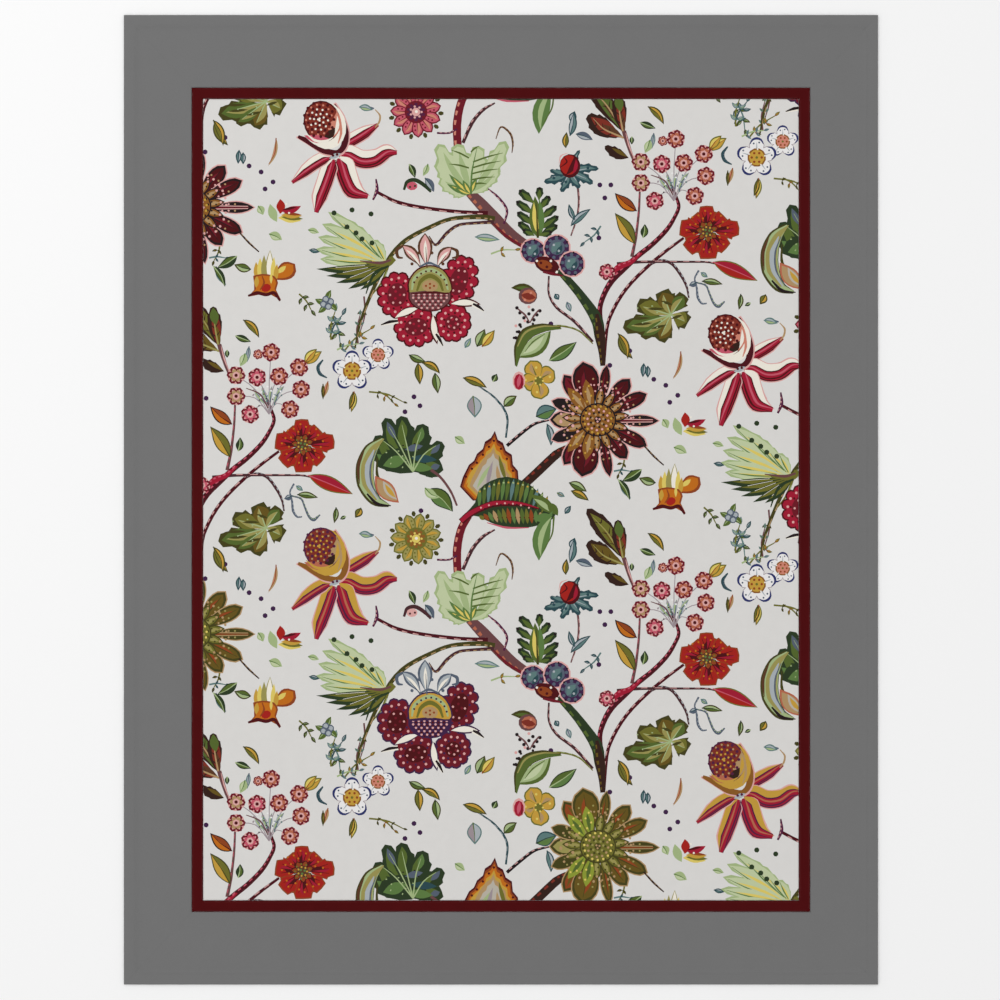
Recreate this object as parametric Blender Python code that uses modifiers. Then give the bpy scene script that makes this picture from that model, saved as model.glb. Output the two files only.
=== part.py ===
"""Throw blanket laid out flat: a printed centre panel, a dark red trim round it and a wide grey border.

Metres, +Z up. The underside lies on Z = 0 and the origin is under the middle of the throw.
+Y points to the top of the print and +X to its right side.

Every piece of cloth is a node of its own. The trim and the border are each four strips that meet in
mitred corners, and the border's hem is turned on the same cloth, so it is part of each strip's section.
"""

import math
from typing import NamedTuple

import bmesh
import bpy
from mathutils import Matrix, Vector

# The throw, seen from above
THROW_WIDTH = 1.400
THROW_LENGTH = 1.800
SIDE_BORDER = 0.126
END_BORDER = 0.135
TRIM_WIDTH = 0.021

# The cloth, seen in section
CLOTH_THICKNESS = 0.0024
TRIM_THICKNESS = 0.0030
HEM_THICKNESS = 0.0042
HEM_WIDTH = 0.024
HEM_STEP = 0.0040
EDGE_RADIUS = 0.0009
SEAM_GAP = 0.0003

# How finely rounded edges are divided
FOLD_STEPS = 12
EDGE_STEPS = 4
WELD_DISTANCE = 0.00001

PRINT_COLOUR = "#AFA398"
TRIM_COLOUR = "#490B0D"
BORDER_COLOUR = "#707070"
COTTON_ROUGHNESS = 0.85
FLEECE_ROUGHNESS = 0.95


class Side(NamedTuple):
    """One side of the throw, as seen from above."""

    name: str
    turn: float         # about Z, from the bottom side to this one
    reach: float        # from the middle of the throw to its edge
    half_length: float  # half the length of that edge
    border: float       # width of the grey border
    next_border: float  # width of the border round the corner


SIDES = (
    Side("bottom", 0.0, THROW_LENGTH / 2, THROW_WIDTH / 2, END_BORDER, SIDE_BORDER),
    Side("right", math.pi / 2, THROW_WIDTH / 2, THROW_LENGTH / 2, SIDE_BORDER, END_BORDER),
    Side("top", math.pi, THROW_LENGTH / 2, THROW_WIDTH / 2, END_BORDER, SIDE_BORDER),
    Side("left", -math.pi / 2, THROW_WIDTH / 2, THROW_LENGTH / 2, SIDE_BORDER, END_BORDER),
)


def clear_scene():
    """Take every object out of the file."""
    for old_object in list(bpy.data.objects):
        bpy.data.objects.remove(old_object)


def new_collection(name):
    """Make a collection and link it to the scene."""
    collection = bpy.data.collections.new(name)
    bpy.context.scene.collection.children.link(collection)
    return collection


def linear_colour(hex_colour):
    """Turn a hex colour as seen on a screen into the linear values that a shader takes."""
    channels = [int(hex_colour[start:start + 2], 16) / 255 for start in (1, 3, 5)]
    linear = [c / 12.92 if c <= 0.04045 else ((c + 0.055) / 1.055) ** 2.4 for c in channels]
    return (*linear, 1.0)


def cloth_material(name, hex_colour, roughness):
    """Make a matt cloth material."""
    material = bpy.data.materials.new(name)
    material.use_nodes = True
    shader = material.node_tree.nodes["Principled BSDF"]
    shader.inputs["Base Color"].default_value = linear_colour(hex_colour)
    shader.inputs["Roughness"].default_value = roughness
    shader.inputs["Metallic"].default_value = 0.0
    return material


def arc(centre, radius, start, end, steps):
    """Points on an arc in a section, from one angle to another in degrees, ends included."""
    across, up = centre
    angles = [math.radians(start + (end - start) * step / steps) for step in range(steps + 1)]
    return [(across + radius * math.cos(angle), up + radius * math.sin(angle)) for angle in angles]


def seam_edge(across, thickness):
    """The rounded edge on the inward side of a section, from the underside to the top."""
    middle = across - EDGE_RADIUS
    lower = arc((middle, EDGE_RADIUS), EDGE_RADIUS, -90, 0, EDGE_STEPS)
    upper = arc((middle, thickness - EDGE_RADIUS), EDGE_RADIUS, 0, 90, EDGE_STEPS)
    return lower + upper


def trim_section():
    """Section across the trim: a flat band with rounded edges, a seam gap inside its nominal width."""
    inner = seam_edge(TRIM_WIDTH - SEAM_GAP / 2, TRIM_THICKNESS)
    outer = [(TRIM_WIDTH - across, up) for across, up in reversed(inner)]
    return inner + outer


def border_section(width):
    """Section across the border: seam edge, plain cloth, the step up to the hem and its round fold."""
    inner = seam_edge(width - SEAM_GAP / 2, CLOTH_THICKNESS)
    hem_end = [(HEM_WIDTH + HEM_STEP / 2, CLOTH_THICKNESS), (HEM_WIDTH - HEM_STEP / 2, HEM_THICKNESS)]
    fold_radius = HEM_THICKNESS / 2
    fold = arc((fold_radius, fold_radius), fold_radius, 90, 270, FOLD_STEPS)
    return inner + hem_end + fold


def extruded_section(name, section, half_length):
    """A mesh that runs along X, with the section's across on Y and its up on Z."""
    curve = bpy.data.curves.new(name, "CURVE")
    curve.dimensions = "2D"
    curve.fill_mode = "BOTH"
    curve.extrude = half_length
    outline = curve.splines.new("POLY")
    outline.points.add(len(section) - 1)
    for point, (across, up) in zip(outline.points, section):
        point.co = (across, up, 0.0, 1.0)
    outline.use_cyclic_u = True

    guide = bpy.data.objects.new(name, curve)
    bpy.context.scene.collection.objects.link(guide)
    evaluated = guide.evaluated_get(bpy.context.evaluated_depsgraph_get())
    mesh = bpy.data.meshes.new_from_object(evaluated)
    bpy.data.objects.remove(guide)
    mesh.transform(Matrix.Rotation(math.pi / 2, 4, "Z") @ Matrix.Rotation(math.pi / 2, 4, "X"))
    return mesh


def cut_mitres(mesh, half_length, width, run):
    """Cut both ends off along lines that start at the outer corners and go in by width and along by run."""
    shape = bmesh.new()
    shape.from_mesh(mesh)
    bmesh.ops.remove_doubles(shape, verts=shape.verts, dist=WELD_DISTANCE)
    for end in (-1, 1):
        outward = Vector((end * width, run, 0.0)).normalized()
        corner = Vector((end * half_length, 0.0, 0.0))
        bmesh.ops.bisect_plane(
            shape,
            geom=shape.verts[:] + shape.edges[:] + shape.faces[:],
            plane_co=corner - outward * SEAM_GAP / 2,
            plane_no=outward,
            clear_outer=True,
        )
        bmesh.ops.holes_fill(shape, edges=[edge for edge in shape.edges if edge.is_boundary])
    bmesh.ops.recalc_face_normals(shape, faces=shape.faces)
    shape.to_mesh(mesh)
    shape.free()


def place(cloth, material, parent, collection):
    """Give a piece its material, hang it under the throw's empty and put it in the collection."""
    cloth.data.materials.append(material)
    cloth.parent = parent
    for other in list(cloth.users_collection):
        other.objects.unlink(cloth)
    collection.objects.link(cloth)


def make_strip(name, section, side, inset, width, run):
    """One mitred strip along a side of the throw, with its outer edge inset from the throw's own edge."""
    inset_along = side.next_border if inset else 0.0
    half_length = side.half_length - inset_along
    mesh = extruded_section(name, section, half_length)
    cut_mitres(mesh, half_length, width, run)
    mesh.shade_smooth()
    mesh.set_sharp_from_angle(angle=math.radians(40))
    strip = bpy.data.objects.new(name, mesh)
    strip.rotation_euler.z = side.turn
    strip.location = Matrix.Rotation(side.turn, 3, "Z") @ Vector((0.0, inset - side.reach, 0.0))
    return strip


def make_panel(name):
    """The printed centre panel: a flat box of cloth with rounded edges."""
    width = THROW_WIDTH - 2 * (SIDE_BORDER + TRIM_WIDTH) - SEAM_GAP
    length = THROW_LENGTH - 2 * (END_BORDER + TRIM_WIDTH) - SEAM_GAP
    bpy.ops.mesh.primitive_cube_add(size=1.0, location=(0.0, 0.0, CLOTH_THICKNESS / 2))
    panel = bpy.context.object
    panel.name = name
    panel.data.name = name
    panel.data.transform(Matrix.Diagonal((width, length, CLOTH_THICKNESS, 1.0)))
    bevel = panel.modifiers.new("rounded edges", "BEVEL")
    bevel.width = EDGE_RADIUS
    bevel.segments = EDGE_STEPS
    return panel


def build_throw():
    """Make every piece of the throw."""
    clear_scene()
    collection = new_collection("throw_blanket")
    throw = bpy.data.objects.new("throw", None)
    collection.objects.link(throw)

    print_cloth = cloth_material("printed_cloth", PRINT_COLOUR, COTTON_ROUGHNESS)
    trim_cloth = cloth_material("trim_cloth", TRIM_COLOUR, COTTON_ROUGHNESS)
    border_cloth = cloth_material("border_cloth", BORDER_COLOUR, FLEECE_ROUGHNESS)

    place(make_panel("printed_panel"), print_cloth, throw, collection)
    for side in SIDES:
        trim = make_strip(f"trim_{side.name}", trim_section(), side, side.border, TRIM_WIDTH, TRIM_WIDTH)
        place(trim, trim_cloth, throw, collection)
        border = make_strip(
            f"border_{side.name}", border_section(side.border), side, 0.0, side.border, side.next_border
        )
        place(border, border_cloth, throw, collection)


build_throw()
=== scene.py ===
"""The looks of a throw blanket laid out flat: a printed floral panel, dark red trim and a wide grey border.

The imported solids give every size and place. Each piece here is a finer cloth mesh that stands for its
solid: the panel carries its print as inked areas of the cloth itself, drawn motif by motif, and the
trim and border are strips with sewn edges, puckers along their seams and rows of stitches.
"""

import math

import bpy
import numpy as np
from bpy.props import FloatProperty, FloatVectorProperty, PointerProperty
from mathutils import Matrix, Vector, noise
from mathutils.geometry import delaunay_2d_cdt


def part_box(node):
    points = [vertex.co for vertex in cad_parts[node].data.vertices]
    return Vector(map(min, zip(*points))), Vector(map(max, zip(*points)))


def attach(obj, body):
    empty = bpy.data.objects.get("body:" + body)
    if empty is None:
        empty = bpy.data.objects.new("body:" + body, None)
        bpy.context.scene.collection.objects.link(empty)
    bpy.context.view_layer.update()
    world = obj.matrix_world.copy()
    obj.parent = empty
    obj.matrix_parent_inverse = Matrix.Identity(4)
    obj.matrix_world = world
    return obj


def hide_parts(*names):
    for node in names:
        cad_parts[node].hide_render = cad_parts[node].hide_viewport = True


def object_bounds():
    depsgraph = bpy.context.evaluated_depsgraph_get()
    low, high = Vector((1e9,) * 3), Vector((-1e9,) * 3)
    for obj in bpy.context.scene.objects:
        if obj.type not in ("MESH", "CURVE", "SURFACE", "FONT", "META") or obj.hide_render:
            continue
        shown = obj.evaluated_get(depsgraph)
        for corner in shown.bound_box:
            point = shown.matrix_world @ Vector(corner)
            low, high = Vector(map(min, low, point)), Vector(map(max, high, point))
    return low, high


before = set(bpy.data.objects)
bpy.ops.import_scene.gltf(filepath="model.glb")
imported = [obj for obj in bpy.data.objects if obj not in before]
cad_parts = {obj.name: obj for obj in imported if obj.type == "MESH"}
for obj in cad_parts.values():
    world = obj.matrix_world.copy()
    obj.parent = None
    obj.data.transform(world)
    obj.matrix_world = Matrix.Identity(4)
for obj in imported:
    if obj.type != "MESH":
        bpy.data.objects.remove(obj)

bl_info = {
    "name": "Floral throw blanket",
    "version": (1, 0, 0),
    "blender": (4, 5, 0),
    "location": "View3D > Sidebar > Throw",
    "description": "Dresses a flat throw blanket: printed panel, trim, border, stitches and its stage",
    "category": "Object",
}

CAD_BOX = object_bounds()
PANEL_LOW, PANEL_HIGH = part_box("printed_panel")
THROW_LOW, THROW_HIGH = CAD_BOX
MM = 0.001
SIDES = ("bottom", "right", "top", "left")

# The print is drafted on squares, DRAFT_WIDTH of them across the panel, counted from its middle, x to
# the right and y up. A point of the draft is a complex number, x + y j.
DRAFT_WIDTH = 596
DRAFT_SQUARE = (PANEL_HIGH.x - PANEL_LOW.x) / DRAFT_WIDTH
# The draft repeats straight down, and half a drop lower one repeat to the right.
REPEAT_RIGHT = 405 - 213.5j
REPEAT_DOWN = -427j
REPEATS_ACROSS = range(-2, 3)
REPEATS_ALONG = range(-3, 4)

# Printing inks, as they look on the cloth
INKS = {
    "ground": "#DDDBD8",
    "cream": "#EFE9DC",
    "white": "#ECEAE9",
    "ink_black": "#241A1C",
    "maroon": "#4E1216",
    "wine": "#6E1A26",
    "crimson": "#A01C33",
    "scarlet": "#A4231C",
    "rose": "#C4586A",
    "pink": "#DCA6A2",
    "salmon": "#CE8470",
    "clay": "#B4684E",
    "rust": "#8E4420",
    "orange": "#C06C1C",
    "gold": "#C39A3E",
    "stone": "#B9B2A4",
    "tan": "#B09066",
    "yellow": "#DCC766",
    "olive": "#6E6C2C",
    "khaki": "#9A9254",
    "umber": "#66531F",
    "lime": "#8C9836",
    "olive_dark": "#45421C",
    "moss": "#55672E",
    "green_dark": "#2C3B24",
    "green": "#5C7A42",
    "sage": "#A3B582",
    "pale_green": "#C0CBA2",
    "teal": "#5E7B79",
    "teal_dark": "#2D4A50",
    "slate": "#56606F",
    "haze": "#A9B0B4",
    "lilac": "#9C8F94",
    "mauve": "#6B4546",
    "mauve_dark": "#4A2A2E",
    "wine_dark": "#4C141C",
    "brick": "#7E3024",
    "brown_gold": "#8A5A26",
    "brown": "#5A3A26",
    "brown_dark": "#35211A",
    "plum": "#54203F",
    "violet": "#3F2347",
    "navy": "#2E3568",
}


def linear_colour(hex_colour):
    """Turn an sRGB hex colour into linear red, green and blue."""
    channels = [int(hex_colour[start:start + 2], 16) / 255 for start in (1, 3, 5)]
    return tuple(c / 12.92 if c <= 0.04045 else ((c + 0.055) / 1.055) ** 2.4 for c in channels)


def facing(degrees):
    """The complex number of length one that points in a direction."""
    return complex(math.cos(math.radians(degrees)), math.sin(math.radians(degrees)))


def direction(start, end):
    """The complex number of length one that points from one point to another."""
    return (end - start) / abs(end - start)


def bowed(base, tip, bend):
    """The middle control point of a leaf's spine, which bend bows to its left."""
    return (base + tip) / 2 + 1j * (tip - base) * bend


def on_spine(base, middle, tip, t):
    """A point on a leaf's spine, t from 0 to 1, and the way the spine runs there."""
    spine = (1 - t) ** 2 * base + 2 * t * (1 - t) * middle + t * t * tip
    heading = (1 - t) * (middle - base) + t * (tip - middle)
    return spine, heading


def spread_widths(line, widths):
    """The widths spread evenly over the points of a line."""
    return np.interp(np.linspace(0, 1, len(line)), np.linspace(0, 1, len(widths)), widths)


def smooth_line(points, steps):
    """Points on a smooth curve that passes through the given ones."""
    if len(points) < 3:
        return list(points)
    ends = [2 * points[0] - points[1], *points, 2 * points[-1] - points[-2]]
    line = []
    for before, start, end, after in zip(ends, ends[1:], ends[2:], ends[3:]):
        for step in range(steps):
            t = step / steps
            line.append(
                start
                + t * (end - before) / 2
                + t * t * (2 * before - 5 * start + 4 * end - after) / 2
                + t ** 3 * (3 * start - before - 3 * end + after) / 2
            )
    return [*line, points[-1]]


class Pen:
    """Draws inked shapes on the draft, from a place, turn and scale of its own."""

    def __init__(self, shapes, place, scale=1 + 0j):
        self.shapes = shapes
        self.place = place
        self.scale = scale

    def put(self, point):
        """Where a point of this pen lies on the draft."""
        return self.place + self.scale * complex(point)

    def at(self, point, turn=0.0, size=1.0):
        """A pen at a point of this one, turned in degrees and scaled."""
        return Pen(self.shapes, self.put(point), self.scale * (size * facing(turn)))

    def patch(self, ink, outline):
        """An area of one ink."""
        self.shapes.append((ink, [self.put(point) for point in outline]))

    def rounded(self, ink, corners, steps=2):
        """An area whose edge runs smoothly through the corners."""
        self.patch(ink, smooth_line([*corners, corners[0]], steps)[:-1])

    def disc(self, ink, centre, across, up=None, turn=0.0, sides=10):
        """A round or oval area, across and up being its radii."""
        up = across if up is None else up
        spin = facing(turn)
        corners = [math.tau * (side + 0.5) / sides for side in range(sides)]
        self.patch(ink, [centre + spin * complex(across * math.cos(a), up * math.sin(a)) for a in corners])

    def dots(self, ink, centres, radius):
        """Small round spots."""
        for centre in centres:
            self.disc(ink, centre, radius, sides=7)

    def blade(self, ink, base, tip, width, bend=0.0, belly=0.5, point=1.0, sides=(1, 1), steps=9):
        """A leaf or petal.

        bend bows it to its left by a share of its length, belly is how far along it is widest, point
        how sharp its ends are, and sides how full its left and right halves are.
        """
        middle = bowed(base, tip, bend)
        skew = math.log(0.5) / math.log(belly)
        left, right = [], []
        for step in range(1, steps):
            t = step / steps
            spine, heading = on_spine(base, middle, tip, t)
            outward = 1j * heading / abs(heading) * width / 2 * math.sin(math.pi * t ** skew) ** point
            left.append(spine + outward * sides[0])
            right.append(spine - outward * sides[1])
        self.patch(ink, [base, *left, tip, *reversed(right)])

    def stroke(self, ink, points, widths, steps=5):
        """A line of changing width through the points, widths being spread evenly along it."""
        line = smooth_line(points, steps)
        left, right = [], []
        for index, (spot, width) in enumerate(zip(line, spread_widths(line, widths))):
            heading = line[min(index + 1, len(line) - 1)] - line[max(index - 1, 0)]
            outward = 1j * heading / (abs(heading) or 1) * width / 2
            left.append(spot + outward)
            right.append(spot - outward)
        self.patch(ink, left + right[::-1])


# How far along a small leaf is widest
LEAF_BELLY = 0.45


def leaf(pen, inks, base, tip, width, bend, edge):
    """A pointed leaf in four inks: its edge, its body, a lighter half and its vein."""
    edge_ink, body, light, vein = inks
    along = direction(base, tip)
    pen.blade(edge_ink, base, tip, width, bend, LEAF_BELLY)
    inner_base, inner_tip = base + along * edge, tip - along * edge * 1.6
    pen.blade(body, inner_base, inner_tip, width - 2 * edge, bend, LEAF_BELLY)
    pen.blade(light, inner_base, inner_tip, width - 2 * edge, bend, LEAF_BELLY, sides=(1, 0.1))
    heart = (base + 2 * bowed(base, tip, bend) + tip) / 4
    pen.stroke(vein, [base, heart, inner_tip], [edge, edge * 0.4], steps=4)


def ring_points(centre, radius, count, start=0.0, squash=1.0):
    """Points evenly round a circle or, with squash, an oval."""
    angles = [math.radians(start) + math.tau * number / count for number in range(count)]
    return [centre + complex(radius * math.cos(a), radius * squash * math.sin(a)) for a in angles]


# Turning by this much from mark to mark strews them evenly
GOLDEN_ANGLE = 137.5


def flecks(pen, ink, centre, across, up, count, size):
    """Small four-sided marks strewn evenly over an oval."""
    for number in range(count):
        reach = math.sqrt((number + 0.6) / count)
        angle = math.radians(GOLDEN_ANGLE * number + 40)
        spot = centre + complex(across * reach * math.cos(angle), up * reach * math.sin(angle))
        pen.disc(ink, spot, size, size * 0.7, turn=60 * number, sides=4)


def toothed(pen, ink, base, tip, width, teeth, bend=0.0, depth=0.35, belly=0.5):
    """A leaf whose edge is cut into pointed teeth that lean towards its tip."""
    middle = bowed(base, tip, bend)
    skew = math.log(0.5) / math.log(belly)
    sides = ([], [])
    for step in range(1, 2 * teeth):
        t = step / (2 * teeth)
        spine, heading = on_spine(base, middle, tip, t)
        heading /= abs(heading)
        reach = width / 2 * math.sin(math.pi * t ** skew) ** 0.8
        lean = width * 0.12 if step % 2 else 0.0
        reach *= 1.0 if step % 2 else 1 - depth
        for side, points in zip((1, -1), sides):
            points.append(spine + 1j * heading * reach * side + heading * lean)
    pen.patch(ink, [base, *sides[0], tip, *reversed(sides[1])])


# Petals of the big chrysanthemum: tip, base, width, bluntness and tone, from the back one to the front
CHRYSANTHEMUM_PETALS = (
    (-56 - 1j, -18 - 1j, 18, 0.7, "brown"), (-54 + 18j, -18 + 6j, 13, 0.6, "plum"),
    (-54 - 21j, -18 - 8j, 13, 0.6, "plum"), (-42 + 44j, -18 + 8j, 17, 0.6, "bright"),
    (-42 - 46j, -18 - 10j, 17, 0.6, "bright"), (1 + 54j, -5 + 10j, 11, 0.7, "dark"),
    (4 - 58j, -5 - 12j, 11, 0.7, "dark"), (24 + 40j, -2 + 8j, 17, 0.55, "dark"),
    (21 - 40j, -2 - 10j, 16, 0.55, "dark"), (41 + 25j, 2 + 6j, 15, 0.5, "dark"),
    (41 - 27j, 2 - 8j, 15, 0.5, "dark"), (53 - 2j, 4 - 2j, 12, 0.8, "striped"),
    (-23 + 57j, -15 + 10j, 27, 0.6, "dark"), (-24 - 58j, -15 - 12j, 27, 0.6, "dark"),
)


def chrysanthemum(pen, inks):
    """The largest flower: uneven pointed petals round a dotted golden middle left of centre."""
    edge, dark, bright, outline, middle, light, spot, flame_ink, flame_light = inks
    tones = {"dark": dark, "bright": bright, "plum": edge, "brown": light, "striped": edge}
    for tip, base, width, blunt, tone in CHRYSANTHEMUM_PETALS:
        along = direction(base, tip)
        pen.blade(outline, base, tip + along * 1.4, width + 1.6, belly=0.62, point=blunt, steps=8)
        pen.blade(edge, base, tip, width - 0.6, belly=0.62, point=blunt, steps=8)
        pen.blade(
            tones[tone], base + along * 3, tip - along * 3, width - 4.5, belly=0.6, point=blunt, steps=7,
        )
        if tone == "dark":
            pen.blade(
                bright, base + along * 8, tip - along * 9, width * 0.4, belly=0.55, sides=(1, 0.05), steps=5,
            )
            pen.stroke(edge, [base + along * 6, tip - along * 6], [1.6, 1.8, 0.4])
        elif tone == "bright":
            pen.blade(
                dark, base + along * 8, tip - along * 5, width * 0.42, belly=0.55, sides=(0.05, 1), steps=5,
            )
        elif tone == "striped":
            for side in (1, -1):
                pen.stroke(outline, [base + 8 + 1.6j * side, tip - 6 + 1.1j * side], [1.0, 1.5, 0.8])
            pen.stroke(bright, [base + 10, tip - 5], [1.4, 1.8, 0.6])
        side_reach = width * 0.27
        for share in (0.35, 0.48, 0.61):
            for side in (1, -1):
                place = base + (tip - base) * share + 1j * along * side_reach * side
                pen.disc(outline if share < 0.5 else light, place, 1.1, sides=5)
    for number in range(15):
        short = pen.at(-10 - 1j, turn=number * 24 + 8)
        short.blade(edge, 6, 34, 9.4, belly=0.62, steps=6)
        short.blade(middle, 7, 32.5, 7, belly=0.62, steps=6)
        short.blade(light, 12, 29, 4, belly=0.6, steps=4)
        short.dots(outline, [30 + 0j, 35 + 3.4j, 35 - 3.4j], 1.3)
        short.dots(edge, [21 + 1.6j, 25 - 1.6j], 1.0)
    pen.dots(outline, (-33 + 5j, -39 + 1j, -33 - 7j, -45 - 3j, -28 - 13j, -29 + 11j), 1.7)
    for angle in (100, 128, 232, 260):
        flame = pen.at(-13 - 1j, turn=angle)
        flame.blade(flame_ink, 10, 41, 11.5, belly=0.55, steps=7)
        flame.blade(flame_light, 14, 34, 4, belly=0.55, steps=5)
        flame.dots(spot, [19 + 2.5j, 24 - 2.5j, 29 + 2.3j, 34 - 1.8j], 1.1)
    hub = pen.at(-10 - 1j)
    hub.disc(edge, 2, 18.5, 17, sides=18)
    hub.disc(middle, 2, 17, 15.6, sides=18)
    rings = ((15, 16, edge), (13.6, 15, spot), (10.4, 12, outline), (7.4, 9, edge), (5.6, 7, light))
    for radius, count, ink in rings:
        hub.dots(ink, ring_points(2, radius, count, radius * 11), 1.25)
    hub.disc(edge, 2, 3.6, sides=8)
    hub.dots(outline, ring_points(2, 1.8, 3, 20), 1.1)


# Tongue petals of the orchid from its throat: points along each, its width, and how far off its
# pale half lies
ORCHID_TONGUES = (
    ((5 + 7j, 14 + 13j, 26 + 20j, 41 + 31j), 8, -1 + 4j),
    ((2 - 1j, 10 + 0j, 24 - 7j, 38 - 6j, 50 + 2j, 60 + 3j), 10, 1 + 7j),
    ((1 - 3j, 4 - 11j, 8 - 24j, 15 - 36j, 31 - 41j), 12.5, 6 + 3j),
    ((-3 - 4j, -5 - 12j, -10 - 27j, -16 - 42j, -21 - 57j), 10, -5 + 1j),
    ((-6 - 2j, -15 - 6j, -29 - 15j, -45 - 27j), 7, -1 + 5j),
)


def orchid(pen, inks):
    """A hooded flower: a dotted dome in a dark ring over a fan of long curved tongues."""
    dark, tongue, light, dome, dome_light, spot, hood, hollow = inks
    for points, width, pale in ORCHID_TONGUES:
        shares = np.interp(np.linspace(0, 1, len(points)), (0, 0.25, 0.7, 1), (0.2, 1, 1, 0.1))
        beside = [point + pale * share for point, share in zip(points, shares)]
        pen.stroke("pink", beside, [2, width + 1.6, width + 1.8, width + 1, 2])
        pen.stroke("pink", points, [2, width + 2.2, width + 2.6, width + 3, 4])
        pen.stroke(hollow, beside, [width * 0.3, width, width, width * 0.8, 1])
        pen.stroke(dark, points, [1.5, width, width * 1.05, width * 1.05, width * 0.4])
        pen.stroke(tongue, points, [1, width - 2.4, width - 2.2, width - 2, width * 0.3])
        inner = [point + pale / abs(pale) * width * 0.15 for point in points]
        pen.stroke(light, inner, [0.3, width * 0.16, width * 0.2, 0.3])
        inner = [point - pale / abs(pale) * width * 0.24 for point in points]
        pen.stroke(dark, inner, [0.4, width * 0.14, width * 0.16, 0.3])
    pen.stroke("slate", (25 + 47j, 31 + 48j, 37 + 47j), [1.4, 3, 1.4])
    pen.stroke("tan", (38 + 46j, 43 + 40j, 42 + 33j, 38 + 28j), [0.8, 1.8, 2, 1])
    ring = (-3 + 51j, 3 + 38j, 8 + 23j, 7 + 10j, 0 + 3j, -13 + 5j, -24 + 12j, -39 + 19j)
    pen.stroke("pink", [p + (p + 14 - 26j) / abs(p + 14 - 26j) * 1.6 for p in ring], [3, 7, 7, 6, 6, 6, 5, 2])
    pen.stroke(hood, ring, [3, 7.5, 7.5, 6, 5, 6.4, 7.5, 3])
    pen.disc(hollow, -11 + 30j, 20, 24, turn=14, sides=18)
    pen.stroke(dome, (-4 + 50j, 3 + 36j, 3 + 20j, -6 + 9j), [0.6, 1.6, 1.8, 0.8])
    pen.stroke(hollow, (1 + 38j, 4 + 26j, 1 + 14j, -9 + 9j, -22 + 13j, -31 + 19j), [1, 3.5, 5.5, 4.5, 4, 1.5])
    pen.disc(dark, -15 + 34j, 18.5, 21, turn=12, sides=20)
    pen.disc(dome, -15 + 34j, 17, 19.6, turn=12, sides=20)
    pen.blade(dome_light, -8 + 16j, 0 + 44j, 10, bend=-0.2, belly=0.5, point=0.8, steps=7)
    pen.blade(spot, -3 + 20j, 0 + 40j, 3.6, bend=-0.2, belly=0.5, steps=5)
    pen.blade("brown_dark", -14 + 14j, -2 + 28j, 8, bend=-0.1, steps=6)
    pen.blade(light, -33 + 20j, -6 + 16j, 8, bend=-0.12, steps=6)
    for radius, count, start in ((15, 13, 0), (11, 10, 15), (7, 7, 5), (3, 3, 40)):
        pen.dots(dark, ring_points(-18 + 36j, radius, count, start, squash=1.15), 1.6)
        between = ring_points(-18 + 36j, radius - 2, count, start + 16, squash=1.15)
        pen.dots(spot if radius < 12 else dome_light, between, 1.1)
    pen.stroke(hollow, (-31 + 22j, -22 + 15j, -12 + 14j, -4 + 18j), [0.6, 2.6, 3, 0.8])
    pen.stroke(dome_light, (-1 + 46j, 3 + 34j, 4 + 22j, 1 + 12j), [0.6, 2.2, 2.6, 0.8])
    pen.blade("haze", -8 - 3j, 4 + 2j, 5, steps=5)
    pen.dots(dark, (-4 + 0j, 0 + 1j), 1.4)


# Lobes of the rosette: centre, radii, turn
ROSETTE_LOBES = (
    (-34 + 1j, 19, 22, -6), (28 + 15j, 18, 25, -18), (-15 - 31j, 21, 19, 10), (22 - 27j, 17, 18, -20),
)
# Bumps round each lobe and the direction of the first
LOBE_BUMPS = (11, 10)
# The crown's curls: foot, tip, width and bend
CROWN_CURLS = (
    (-10 + 28j, -29 + 51j, 12, -0.14), (6 + 28j, 21 + 49j, 12, 0.16), (-4 + 28j, -6 + 63j, 15, 0.04),
)


def oval_points(across, up, count, start):
    """Points round an oval about the origin."""
    return [complex(p.real * across, p.imag * up) for p in ring_points(0, 1, count, start)]


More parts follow.
